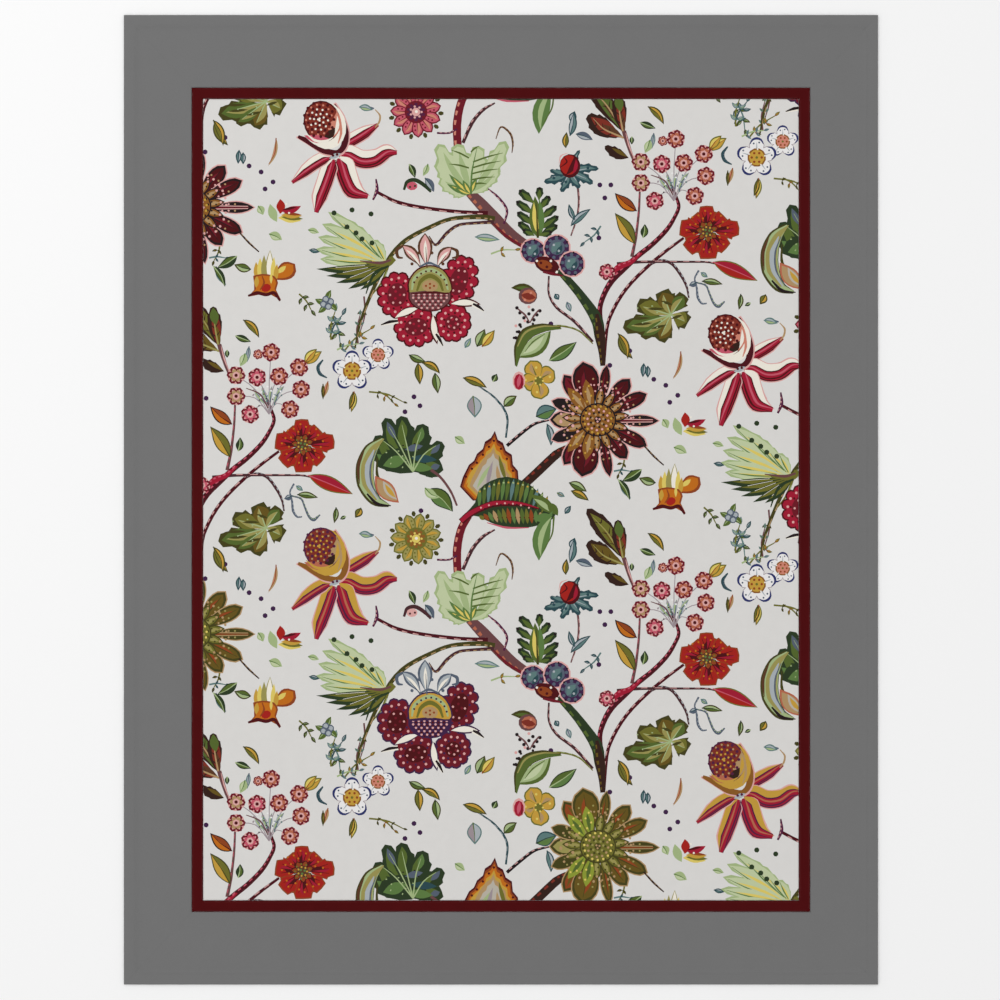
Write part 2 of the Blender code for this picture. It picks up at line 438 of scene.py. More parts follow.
def rosette(pen, inks):
    """A round flower of four dotted lobes with a domed middle and a crown of curls."""
    edge, lobe, deep, spot, bed, dome, crown, crown_light = inks
    petals = [(pen.at(centre, turn=turn), across, up) for centre, across, up, turn in ROSETTE_LOBES]
    for petal, across, up in petals:
        for bump in oval_points(across - 4, up - 4, *LOBE_BUMPS):
            petal.disc(edge, bump, 6.2, sides=9)
        petal.disc(edge, 0, across - 2, up - 2, sides=16)
    for petal, across, up in petals:
        for bump in oval_points(across - 4.5, up - 4.5, *LOBE_BUMPS):
            petal.disc(lobe, bump, 4.9, sides=9)
        petal.disc(lobe, 0, across - 4, up - 4, sides=16)
        petal.disc(deep, 0, across - 9, up - 10, sides=14)
        petal.dots(spot, oval_points(across - 5, up - 5, 12, 0), 1.4)
        petal.dots(edge, oval_points(across - 8, up - 8, 9, 20), 1.2)
        petal.dots(spot, oval_points(across - 12, up - 13, 6, 5), 1.2)
        petal.dots(lobe, oval_points(3, 4, 3, 5), 1.4)
    for start, end, bend in ((-36 - 22j, -12 - 12j, 0.1), (2 - 19j, 6 - 46j, -0.06), (20 - 8j, 47 - 8j, 0.1)):
        pen.blade(edge, start * 0.98, end * 1.06, 9, bend, steps=6)
        pen.blade("cream", start, end, 6, bend, steps=6)
    for start, end in ((-33 - 25j, -50 - 29j), (5 - 38j, 12 - 50j), (42 - 8j, 53 - 15j)):
        pen.stroke("cream", [start, end], [5, 2])
        pen.stroke("ink_black", [start, (start + end) / 2 + 1j, end], [2, 3, 1])
    pen.disc(edge, -1 + 0j, 22, 16, sides=18)
    pen.disc(bed, -1 + 0j, 20.6, 14.6, sides=18)
    for row, count in enumerate((4, 5, 6, 7, 7)):
        reach, level = 2.8 * (count - 1), -12 + 3.4 * row
        pen.dots(spot, [complex(-1 - reach + 5.6 * n, level) for n in range(count)], 1.25)
        pen.dots(deep, [complex(1.8 - reach + 5.6 * n, level - 1.5) for n in range(count - 1)], 1.15)
    arch = (-23 + 3j, -23 + 15j, -14 + 27j, -1 + 31j, 12 + 27j, 20 + 15j, 20 + 3j, -1 + 5j)
    pen.rounded(edge, arch, 3)
    pen.rounded(dome, [p * 0.93 + 0.7j for p in arch], 3)
    pen.stroke("sage", (-19 + 6j, -16 + 18j, -1 + 26j, 13 + 18j, 17 + 6j), [1.6, 3.4, 4, 3.4, 1.6])
    pen.stroke("olive", (-14 + 5j, -10 + 15j, -1 + 20j, 8 + 15j, 12 + 5j), [2, 3.6, 4.4, 3.6, 2])
    beads = [complex(-1 + 17.5 * math.cos(a / 10), 5 + 20 * math.sin(a / 10)) for a in range(3, 30, 3)]
    pen.dots(edge, beads, 1.1)
    pen.disc("tan", -1 + 10j, 8, 6, sides=12)
    pen.dots("rust", (-5 + 10j, -1 + 12j, 3 + 10j, -1 + 8j), 1.2)
    pen.stroke(edge, (-20 + 2j, -1 + 3.4j, 18 + 2j), [1, 2.4, 1])
    for foot, tip, width, bend in CROWN_CURLS:
        pen.blade(crown, foot, tip, width, bend, belly=0.6, steps=8)
        pen.blade(crown_light, foot, tip * 0.96 + foot * 0.04, width - 4.4, bend, belly=0.6, steps=7)
        pen.blade("cream", foot, tip * 0.8 + foot * 0.2, width * 0.26, bend, belly=0.6, steps=5)
        pen.stroke(crown, [foot, tip * 0.6 + foot * 0.4], [1.4, 0.4])
    pen.stroke(crown, (-28 + 50j, -34 + 46j, -33 + 39j, -28 + 38j), [2.4, 3.4, 3, 1.4])
    pen.stroke(crown, (20 + 48j, 26 + 45j, 26 + 39j, 21 + 38j), [2.4, 3.4, 3, 1.4])
    pen.dots(crown, (-19 + 32j, -12 + 43j, 1 + 43j, 12 + 32j), 1.7)
    pen.stroke("slate", (-12 + 29j, -2 + 33j, 9 + 29j), [1.4, 2.6, 1.4])


def sunflower(pen, inks):
    """A small flower of eleven narrow petals with dark tips between them and a glowing eye."""
    edge, petal_ink, light, eye, glow = inks
    for number in range(11):
        petal = pen.at(0, turn=number * 32.7 + 14)
        petal.blade(edge, 4, 26, 12, belly=0.62, point=0.7, steps=7)
        petal.blade(petal_ink, 5, 24.5, 9.4, belly=0.62, point=0.7, steps=7)
        petal.blade(light, 8, 23, 6.4, belly=0.6, sides=(1, 0.2), steps=5)
        petal.stroke(edge, [9, 20], [1.2, 0.3])
        petal.dots(edge, [14 - 2.6j, 18 - 2.4j], 1.0)
        pen.at(0, turn=number * 32.7 + 30).disc("olive_dark", 25, 3.0, 2.2, sides=6)
    pen.disc(edge, 0, 11.5, sides=13)
    pen.disc(eye, 0, 9.5, sides=12)
    pen.dots(edge, ring_points(0, 8.4, 10), 1.3)
    pen.dots(glow, ring_points(0, 5.6, 7), 1.2)
    pen.disc(glow, 0, 4.4, sides=8)
    pen.dots("cream", [0.4 + 0.4j], 1.6)


# Petals of the dahlia: direction, reach and width
DAHLIA_PETALS = (
    (132, 21, 17), (45, 23, 18), (172, 28, 22), (92, 26, 18),
    (6, 33, 20), (-42, 26, 19), (-88, 28, 23), (-137, 28, 20),
)


def dahlia(pen):
    """A full red flower of eight ruffled petals with a dotted olive brown middle."""
    petals = [(pen.at(0, turn=angle), reach, width) for angle, reach, width in DAHLIA_PETALS]
    for petal, reach, width in petals:
        toothed(petal, "rust", 2, reach + 1.5, width + 3, 4, depth=0.16, belly=0.66)
        toothed(petal, "scarlet", 3, reach, width, 4, depth=0.14, belly=0.66)
    for petal, reach, width in petals:
        petal.blade("maroon", 4, reach - 8, width * 0.36, belly=0.6, sides=(1, 0.1), steps=5)
        petal.blade("crimson", 8, reach - 3, width * 0.34, belly=0.6, sides=(0.1, 1), steps=5)
        for side in (1, -1, 0):
            petal.stroke("maroon", [9 + 1j * side, reach - 5 + 5j * side], [1.2, 0.4])
        petal.dots("orange", [14 + 4j, 19 - 4.4j, 22 + 1.5j], 1.1)
    for number in range(7):
        short = pen.at(0, turn=number * 51 + 20)
        short.blade("maroon", 2, 12.5, 7.5, belly=0.6, steps=5)
        short.blade("rust", 2, 11.4, 5, belly=0.6, steps=5)
    pen.disc("brown", 0, 6.4, sides=11)
    pen.dots("gold", ring_points(0, 4.8, 7), 1.1)
    pen.dots("olive", ring_points(0, 8, 9, 20), 1.1)
    pen.dots("green", ring_points(0, 2.4, 3, 20), 1.3)


def floret(pen, size=1.0, fill="salmon"):
    """One small flower of the cluster: a ring of dark beads round a warm middle."""
    small = pen.at(0, size=size)
    small.disc("pink", 0, 9.2, sides=9)
    for spot in ring_points(0, 6.2, 6, 18):
        small.disc("wine", spot, 3.5, sides=6)
    for spot in ring_points(0, 4.6, 6, 18):
        small.disc(fill, spot, 2.3, sides=6)
    small.disc("pink", 0, 3.6, sides=7)
    small.dots("maroon", [0j], 1.8)
    small.dots("pink", ring_points(0, 6.6, 6, 18), 0.8)


# Middles of the florets in the cluster, and their fills, taken in turn
CLUSTER_FLORETS = (3 + 32j, -32 + 9j, -11 + 7j, 11 + 8j, 31 + 17j, 33 - 5j, -32 - 12j, -18 - 30j, 22 - 25j)
CLUSTER_FILLS = ("clay", "tan", "rose", "clay", "clay")
# Feet and tips of the thin leaves in its middle
CLUSTER_LEAVES = (
    (-14 - 6j, -2 - 20j), (-6 - 2j, -18j), (4 - 2j, 2 - 18j), (12 - 6j, 6 - 20j), (16 - 2j, 8 - 12j),
)


def berry_cluster(pen):
    """A head of nine florets on fine stalks, hazy green and lilac in its middle."""
    for spot in CLUSTER_FLORETS:
        pen.stroke("lilac", [1 - 30j, spot * 0.4 - 9j, spot], [1.0, 0.9, 0.9], steps=3)
    for foot, tip in CLUSTER_LEAVES:
        pen.blade("haze", tip, foot, 5, bend=0.1, steps=5)
        pen.blade("sage", tip, foot, 2.4, bend=0.1, steps=5)
        pen.stroke("slate", [tip, foot], [1.2, 0.4])
    flecks(pen, "lilac", -8 - 6j, 12, 7, 6, 1.6)
    flecks(pen, "teal", 4 - 12j, 12, 9, 9, 1.3)
    flecks(pen, "ink_black", -4 - 16j, 9, 8, 6, 1.1)
    flecks(pen, "white", 0 - 8j, 14, 8, 7, 1.5)
    pen.stroke("mauve", (-22 - 4j, -8 - 10j, 0 - 24j), [0.8, 1.6, 1.4])
    for number, spot in enumerate(CLUSTER_FLORETS):
        floret(pen.at(spot, turn=number * 37), fill=CLUSTER_FILLS[number % len(CLUSTER_FILLS)])


# Ragged lobes of the pale leaf: tip, width, bend
PALE_LOBES = (
    (-33 + 50j, 21, 0.1), (-34 + 33j, 20, 0.1), (-31 + 15j, 18, 0.12), (-20 + 4j, 14, 0.1),
    (-14 + 50j, 23, 0.04), (8 + 48j, 22, 0.0), (35 + 53j, 20, -0.08), (30 + 37j, 16, -0.08),
    (28 + 24j, 14, -0.1), (18 + 11j, 11, -0.1),
)
# Its dark veins, from and to
PALE_VEINS = (
    (14j, 24 + 17j), (20j, 28 + 25j), (1 + 26j, 30 + 33j), (2 + 32j, 32 + 41j),
    (4 + 10j, 16 + 10j), (-2 + 26j, -22 + 30j), (-2 + 36j, -20 + 44j), (42j, 8 + 48j),
)


def serrated_leaf(pen):
    """The broad pale green leaf with ragged edges and dark combed veins."""
    for tip, width, bend in PALE_LOBES:
        toothed(pen, "sage", 0, tip, width, 5, bend, depth=0.25, belly=0.66)
    for tip, width, bend in PALE_LOBES:
        toothed(pen, "pale_green", 0, tip * 0.95, width - 4, 5, bend, depth=0.2, belly=0.66)
    for tip, width, bend in PALE_LOBES[::2]:
        pen.blade("sage", 2j, tip * 0.84, width * 0.3, bend, steps=6)
    for tip in (-24 + 10j, -16 + 6j, -22 + 20j, -8 + 14j, 6 + 16j):
        pen.blade("green", 0, tip, 6, bend=0.08, steps=6)
        pen.blade("yellow", 0, tip * 0.8, 2.4, bend=0.08, steps=4)
    for start, end in PALE_VEINS:
        pen.stroke("moss", [start, (start + end) / 2 + 0.8j, end], [1.6, 1.8, 0.4])
    pen.stroke("green", [0, 1 + 22j, 6 + 46j], [2.2, 1.6, 0.4])


# Fronds of the feathery leaf: tip, width, bend
FEATHERS = (
    (-58 + 52j, 11, -0.1), (-64 + 40j, 12, -0.09), (-68 + 27j, 12, -0.06), (-70 + 15j, 11, -0.02),
    (-66 + 5j, 10, 0.03), (-46 + 44j, 11, -0.12), (-34 + 34j, 10, -0.14), (-22 + 26j, 9, -0.16),
    (-12 + 24j, 8, -0.1),
)
STRIPED_FEATHERS = (
    (-70 - 5j, 9, 0.08), (-60 - 12j, 9, 0.1), (-50 - 19j, 8, 0.1), (-38 - 25j, 8, 0.1), (-26 - 26j, 7, 0.12),
)


def feathery_leaf(pen):
    """Long pale fronds fanned upwards and striped dark ones below, with dark beads along the top edge."""
    for tip, width, bend in FEATHERS:
        toothed(pen, "sage", 0, tip, width + 3, 4, bend, depth=0.2, belly=0.6)
    for tip, width, bend in FEATHERS:
        pen.blade("pale_green", 0, tip * 0.96, width, bend, belly=0.6, steps=7)
        pen.blade("yellow", tip * 0.1, tip * 0.8, width * 0.26, bend, belly=0.5, steps=5)
        pen.stroke("green", [tip * 0.2, tip * (0.55 + 0.02j), tip * 0.92], [0.8, 1.4, 0.4], steps=3)
    for tip, width, bend in STRIPED_FEATHERS:
        pen.blade("green_dark", 2, tip, width, bend, belly=0.5, steps=6)
        pen.blade("olive", 2, tip * 0.85, width * 0.5, bend, belly=0.45, steps=5)
        pen.stroke("cream", [tip * 0.3, tip * 0.72], [0.4, 1.6, 0.4])
    pen.dots("green_dark", (-52 + 51j, -39 + 37j, -30 + 31j, -24 + 25j, -14 + 21j, -34 + 54j, -15 + 50j), 2.7)
    pen.stroke("olive", [8 + 6j, 0, -20 + 1j], [6, 7, 2])
    pen.stroke("mauve", [5 + 4j, -6 + 1j, -26 + 3j], [2, 3, 1])
    pen.stroke("green_dark", (3 - 2j, -10 - 8j, -16 - 18j, -20 - 30j), [2, 3, 2.4, 1])


# Upright stripes of the bell: foot, tip, width and ink
BELL_STRIPES = (
    (-9 - 4j, -10 + 16j, 6, "gold"), (-6 - 4j, -6 + 20j, 6, "yellow"), (-2 - 6j, -2 + 23j, 6, "khaki"),
    (3 - 4j, 4 + 28j, 8, "khaki"), (3 - 4j, 4 + 27j, 6, "cream"), (6 - 4j, 8 + 21j, 5, "yellow"),
    (9 - 5j, 11 + 14j, 5, "gold"),
)


def bell_flower(pen):
    """A hanging bell: pale stripes at the top, an orange mouth and one petal folded out to the right."""
    pen.blade("rust", 3 - 1j, 29 + 14j, 18, bend=-0.12, belly=0.66, point=0.7, steps=8)
    pen.blade("orange", 5, 27 + 13j, 13, bend=-0.12, belly=0.66, point=0.7, steps=8)
    pen.blade("yellow", 8 + 4j, 20 + 12j, 5, bend=-0.1, belly=0.6, steps=5)
    for foot, tip, width, ink in BELL_STRIPES:
        pen.blade(ink, foot, tip, width, belly=0.5, steps=6)
    mouth = (-13 + 2j, -4 + 4j, 8 + 2j, 12 - 5j, 10 - 12j, 15 - 22j, 5 - 17j, -4 - 16j, -18 - 19j, -12 - 12j)
    pen.rounded("rust", mouth)
    pen.rounded("orange", [p * 0.84 - 1j for p in mouth])
    pen.blade("gold", -10 - 10j, -9 + 2j, 5, steps=5)
    pen.disc("scarlet", 0 - 10j, 5, 4, turn=20)
    pen.stroke("rust", (-4 + 2j, -2 - 5j, -6 - 12j), [1, 2, 1])
    pen.blade("yellow", 5 - 6j, 5 + 5j, 3, steps=5)
    pen.stroke("maroon", (-18 - 18j, -9 - 15j, 0 - 17j, 8 - 15j, 14 - 23j), [2, 3.6, 3, 3.6, 2])


# The navy mark on a petal
PETAL_MARK = (13.6 + 6.6j, 17.6 + 4.4j, 19.2, 17.6 - 4.4j, 13.6 - 6.6j)


def blue_edged_flower(pen, size=1.0, eye="gold"):
    """A white flower with a navy mark at the end of each petal and a broad ochre eye."""
    small = pen.at(0, size=size)
    petals = [small.at(0, turn=number * 72 - 126) for number in range(5)]
    for petal in petals:
        petal.disc("lilac", 11.6, 8.2, 7.8, sides=11)
    for petal in petals:
        petal.disc("white", 11.4, 7.6, 7.1, sides=11)
        petal.stroke("navy", PETAL_MARK, [0.8, 2, 2.6, 2, 0.8], steps=2)
        petal.dots("slate", (14 + 3j, 15 - 2.5j), 1.0)
        petal.stroke("haze", [8, 15], [1.6, 0.4])
    small.disc("brown_gold", 0, 9.4, sides=12)
    small.disc(eye, 0, 7.8, sides=11)
    small.dots("rust", ring_points(0, 5.0, 6), 1.3)
    small.dots("cream", ring_points(0, 8.4, 5, 12), 0.9)
    small.dots("olive", [0j], 1.4)


# Broad blades on one stalk: base, tip, width and bend
PAIRED_BLADES = (
    (16 - 18j, -23 + 36j, 19, -0.06), (14 - 18j, 8 + 25j, 15, 0.04), (14 - 20j, -22 + 3j, 20, 0.12),
)


def paired_leaves(pen, dark, bodies, light, vein):
    """Three broad blades on one stalk, dark along one side, and a smaller one below."""
    for (base, tip, width, bend), body in zip(PAIRED_BLADES, bodies):
        toothed(pen, dark, base, tip, width, 6, bend, depth=0.07, belly=0.6)
        end = tip * 0.92 + base * 0.08
        pen.blade(body, base, end, width - 4, bend, belly=0.55, sides=(0.6, 1))
        pen.blade(light, base, tip * 0.6 + base * 0.4, width * 0.5, bend, belly=0.5, sides=(0.2, 1), steps=6)
        along = direction(base, tip)
        for share in (0.3, 0.5, 0.7):
            root = base + (tip - base) * share + 1j * (tip - base) * bend * 0.8
            for side in (1, -1):
                pen.stroke(dark, [root, root + along * complex(5, 5 * side)], [1.4, 0.4])
        heart = (base + tip) / 2 + 1j * (tip - base) * bend / 1.6
        pen.stroke(vein, [base, heart, tip * 0.85 + base * 0.15], [2, 1.4, 0.4])
    pen.blade("moss", 11 + 6j, 8 + 24j, 9, 0.04, steps=6)
    toothed(pen, dark, 19 - 40j, -5 - 28j, 12, 4, 0.1, depth=0.15)
    pen.blade("umber", 18 - 39j, 2 - 30j, 6, 0.1, sides=(0.3, 1), steps=5)
    pen.stroke("mauve", (14 - 13j, 18 - 26j, 22 - 38j, 28 - 52j), [4.5, 4, 3, 2])
    pen.stroke("pink", (16 - 15j, 19 - 27j, 24 - 40j), [0.5, 1.4, 0.5])


# Sepals of the rose bud: tip, width and bend
SEPALS = (
    (-26 - 16j, 10, 0.1), (-9 - 26j, 9, 0.1), (10 - 22j, 9, -0.1), (23 - 18j, 10, 0.1),
    (29 - 3j, 9, 0.15), (-20 - 4j, 7, 0.2), (10 + 16j, 6, 0.1),
)


def rose_bud(pen):
    """A red bud held in ragged grey green sepals."""
    for tip, width, bend in SEPALS:
        toothed(pen, "teal_dark", -6j, tip, width + 1.5, 4, bend, depth=0.3)
        pen.blade("teal", -6j, tip * 0.9, width * 0.5, bend, steps=5)
        pen.stroke("haze", [-6j, tip * 0.7], [1.4, 0.4])
    for centre, across, up, ink in ((0, 10.5, 12, "maroon"), (-1 + 1j, 8.8, 10, "scarlet")):
        pen.disc(ink, centre, across, up, sides=13)
    pen.blade("maroon", -4 - 9j, 5 + 11j, 6, bend=-0.25, steps=6)
    pen.blade("crimson", 3 - 8j, 6 + 7j, 4, bend=-0.2, steps=5)
    pen.stroke("maroon", (-9 - 1j, -3 + 4j, -6 + 9j), [0.6, 1.5, 0.6])
    pen.stroke("pink", (-11 + 2j, -9 + 10j, -2 + 13j), [0.4, 1.4, 0.4])
    pen.dots("teal_dark", (-16 - 12j, 8 - 14j, 18 - 2j, -4 - 16j), 1.6)


def hazy_flower(pen):
    """A small grey blue flower held in olive leaves."""
    for tip in (-12 + 4j, -9 - 10j, 4 + 13j, 10 - 8j):
        pen.blade("moss", 0, tip, 6, bend=0.15, steps=6)
        pen.stroke("sage", [tip * 0.3, tip * 0.8], [1.2, 0.4])
    for spot in ring_points(0, 3.6, 4, 20):
        pen.disc("slate", spot, 3.8, sides=8)
        pen.disc("haze", spot * 1.1, 2.4, sides=7)
    pen.dots("slate", [0j], 1.6)


def hooded_bud(pen, hood, bed):
    """A tiny bud under a dark hood."""
    pen.disc(bed, 0, 5.6, 4.4, sides=9)
    pen.stroke(hood, (-8 - 4j, -5 + 4j, 3 + 6j, 12 + 1j, 19 - 6j), [2.4, 3.4, 4, 4, 2.4])
    pen.dots(hood, (-2 - 1j, 3 + 0j), 1.2)


# Fingers of the fern: tip and width
FERN_FINGERS = (
    (-19 + 44j, 9), (-22 + 33j, 8), (-21 + 22j, 8), (-20 + 12j, 8), (-15 + 4j, 7), (2 + 47j, 8),
    (12 + 38j, 8), (19 + 28j, 8), (21 + 18j, 8), (20 + 9j, 8), (14 + 2j, 7),
)


def fern_leaf(pen):
    """A comb of dark fingers on a yellow green middle."""
    for tip, width in FERN_FINGERS:
        root = complex(-3 if tip.real < 0 else 1, max(-2, tip.imag - 14))
        toothed(pen, "green_dark", root, tip, width + 1, 3, depth=0.2, belly=0.6)
        pen.blade("moss", root, tip * 0.84 + root * 0.16, width * 0.5, belly=0.5, steps=5)
        pen.dots("ink_black", [tip * 0.9 + root * 0.1], 1.5)
    pen.blade("moss", -4j, 38j - 3, 15, belly=0.4, steps=8)
    pen.blade("yellow", 0, 32j - 4, 5.5, bend=0.06, belly=0.4, steps=6)
    pen.blade("green", 3, 36j + 1, 6, bend=-0.08, belly=0.4, steps=6)
    pen.stroke("olive_dark", (-4j, 16j - 1, 36j - 2), [2.4, 1.4, 0.3])


def disc_flower(pen):
    """A flower of three round blue and slate petals, each ringed with dark beads, on a red brown heart."""
    for centre, radius in ((-18 + 8j, 11.5), (6 + 11j, 12.5), (21 - 5j, 12)):
        pen.disc("pink", centre, radius + 1.6, sides=13)
        pen.disc("violet", centre, radius, sides=13)
        pen.dots("slate", ring_points(centre, radius - 2.6, 9, radius), 1.8)
        pen.disc("slate", centre + 0.8j, radius - 4.4, sides=10)
        pen.blade("teal", centre - 5 - 5j, centre + 4 + 6j, 8, bend=0.1, steps=6)
        pen.blade("teal_dark", centre - 1 - 7j, centre + 5 + 3j, 5, bend=-0.1, steps=5)
        pen.dots("haze", (centre - 3 + 3j, centre + 2 - 3j), 1.3)
        pen.dots("ink_black", ring_points(centre, radius - 0.6, 7, 30), 1.1)
    pen.disc("maroon", -4 - 6j, 13, 8, turn=-20, sides=12)
    pen.disc("rust", -6 - 6j, 8, 4.6, turn=-20, sides=10)
    pen.dots("maroon", (-10 - 4j, -4 - 8j, 2 - 9j), 1.5)
    pen.dots("cream", (0 - 2j, -14 - 2j, 6 - 13j), 1.3)
    pen.stroke("wine", (-8 - 13j, 2 - 15j, 12 - 17j), [2, 3.4, 1.2])


def gold_flower(pen):
    """A soft golden flower of four petals with a rose bud beside it."""
    for angle, reach in ((28, 19), (112, 21), (195, 16), (280, 20)):
        petal = pen.at(0, turn=angle)
        petal.blade("olive", 0, reach, 19, belly=0.6, point=0.55, steps=7)
        petal.blade("gold", 0, reach - 1.4, 16.5, belly=0.6, point=0.55, steps=7)
        petal.blade("tan", 3, reach - 3, 8, belly=0.6, sides=(1, 0.2), steps=6)
        petal.stroke("olive", [5, reach - 6], [1.6, 0.4])
        petal.dots("yellow", [12 - 3j], 1.3)
    pen.disc("olive", 1 - 1j, 4.5, sides=9)
    pen.dots("yellow", ring_points(1 - 1j, 4, 5), 1.1)
    pen.disc("pink", -19 - 1j, 6.5, 9.5, sides=10)
    pen.disc("crimson", -19 - 2j, 5, 8, sides=10)
    pen.blade("rose", -20 - 8j, -18 + 5j, 4, steps=5)
    pen.stroke("wine", [-16 - 8j, -16 + 2j], [1.6, 0.6])


def tulip(pen):
    """A tiny red flower open to the right over two golden petals."""
    pen.blade("sage", -10 - 10j, -17 + 8j, 9, bend=0.1, steps=6)
    pen.blade("yellow", -9 - 6j, 14 - 9j, 9, bend=0.1, steps=6)
    pen.blade("olive", -6 - 5j, 16 - 7j, 5, steps=5)
    pen.blade("gold", -6 - 3j, 15 - 4j, 6, steps=6)
    pen.blade("rust", -4 - 1j, 15 - 3j, 3, steps=5)
    pen.blade("scarlet", -7 - 2j, -7 + 13j, 9, bend=-0.1, steps=6)
    pen.blade("crimson", -6 + 1j, 14 + 6j, 7, bend=-0.15, steps=6)
    pen.blade("maroon", -5 + 2j, 10 + 5j, 2.6, steps=4)
    pen.dots("cream", (2 - 1j, -1 + 8j), 1.1)


# Outline of the flamed point, its inks from the edge inwards with the share that each fills, and its
# streaks: from, to and ink
FLAME = (
    -39 - 14j, -36 - 4j, -33 + 2j, -30 + 8j, -25 + 12j, -22 + 19j, -16 + 24j, -14 + 31j, -8 + 35j,
    -4 + 42j, -1 + 33j, 4 + 30j, 7 + 22j, 13 + 18j, 14 + 8j, 19 + 2j, 20 - 10j, -26j, -26 - 28j,
)
FLAME_MIDDLE = -8 - 12j
FLAME_LAYERS = (
    (1.0, "maroon"), (0.94, "rust"), (0.88, "orange"), (0.77, "gold"), (0.69, "tan"), (0.59, "stone"),
)
FLAME_STREAKS = (
    (-33 - 12j, -19 + 10j, "gold"), (-28 - 16j, -12 + 18j, "tan"), (8 - 10j, 18j, "olive"),
    (-22 - 16j, -8 + 8j, "sage"), (-12 - 16j, -6 + 12j, "lilac"), (2 - 14j, -2 + 8j, "tan"),
)
# Outline of the boat below it, and the inks of its ribs above and below the band, taken in turn
BOAT = (
    -35 - 42j, -24 - 30j, -20 - 17j, -8 - 8j, 8 - 4j, 26 - 9j, 38 - 18j, 50 - 30j, 57 - 41j, 50 - 49j,
    34 - 54j, 12 - 56j, -8 - 50j, -20 - 44j,
)
BOAT_RIBS = 15
UPPER_RIB_INKS = ("green", "moss", "teal", "moss", "olive")
LOWER_RIB_INKS = ("olive", "rust", "green", "tan", "moss")


def artichoke_leaf(pen):
    """The large leaf in two parts: a flamed point over a ribbed green boat with a red band."""
    for share, ink in FLAME_LAYERS:
        pen.patch(ink, [FLAME_MIDDLE + (corner - FLAME_MIDDLE) * share for corner in FLAME])
    for start, end, ink in FLAME_STREAKS:
        pen.blade(ink, start, end, 4.2, bend=0.05, steps=6)
    for spot in (-33 - 4j, -27 + 4j, -22 + 10j, -16 + 18j, -10 + 26j, -5 + 32j, 2 + 24j, 8 + 14j, 14 + 2j):
        pen.disc("maroon", spot, 1.4, sides=5)
    pen.rounded("green_dark", BOAT)
    leans = [number / (BOAT_RIBS - 1) for number in range(BOAT_RIBS)]
    for number, lean in enumerate(leans):
        top = complex(-19 + 68 * lean, -15 + 44 * lean - 52 * lean ** 2)
        foot = complex(-20 + 62 * lean, -38 + 32 * lean - 36 * lean ** 2)
        pen.blade(UPPER_RIB_INKS[number % 5], foot, top, 4.0, belly=0.6, point=0.8, steps=6)
        pen.dots("sage" if number % 2 else "gold", [top * 0.84 + foot * 0.16], 1.0)
    for number, lean in enumerate(leans):
        top = complex(-20 + 66 * lean, -43 + 32 * lean - 30 * lean ** 2)
        foot = complex(-14 + 60 * lean, -47 - 16 * lean + 14 * lean ** 2)
        pen.blade(LOWER_RIB_INKS[number % 5], top, foot, 4.2, belly=0.5, point=0.8, steps=6)
        pen.dots("maroon", [top * 0.4 + foot * 0.6 + 2.2], 0.9)
    pen.stroke("rose", (-12 - 50j, 8 - 55j, 30 - 55j), [0.8, 2.2, 0.8])
    pen.blade("moss", 30 - 21j, 55 - 41j, 12, bend=0.1, belly=0.6, steps=7)
    pen.blade("sage", 35 - 26j, 53 - 40j, 5, bend=0.1, steps=6)
    pen.blade("green", 34 - 46j, 54 - 42j, 9, bend=-0.1, steps=6)
    band = (-38 - 49j, -30 - 42j, -19 - 36j, -5 - 31j, 11 - 30.5j, 26 - 32j, 40 - 36j)
    pen.stroke("maroon", band, [6.5, 7, 6.5, 6.5, 6, 4, 1.5])
    pen.stroke("crimson", [p + 0.5j for p in band], [4, 4.5, 4, 4, 3.4, 2, 0.6])
    pen.dots("pink", [complex(-18 + 8 * n, -35 + 3 * n - 0.5 * n * n) for n in range(7)], 1.0)
    pen.dots("ink_black", [complex(-14 + 8 * n, -36 + 3 * n - 0.5 * n * n) for n in range(7)], 0.9)
    pen.blade("moss", 48 - 30j, 59 - 43j, 9, bend=0.1, steps=6)
    pen.blade("green", 54 - 38j, 40 - 88j, 17, bend=-0.16, belly=0.55, steps=8)
    pen.blade("sage", 53 - 44j, 42 - 84j, 9, bend=-0.16, sides=(0.2, 1), steps=7)
    pen.stroke("moss", (55 - 44j, 53 - 62j, 43 - 80j), [2, 1.6, 0.4])


# Lobes of the dark leaf: tip, width and bend
DARK_LOBES = (
    (-26 + 36j, 19, 0.05), (-10 + 38j, 20, 0.0), (12 + 30j, 20, -0.05), (31 + 12j, 17, -0.1),
    (-36 + 18j, 18, 0.1), (-37 + 1j, 17, 0.12), (31 - 11j, 19, -0.08),
)


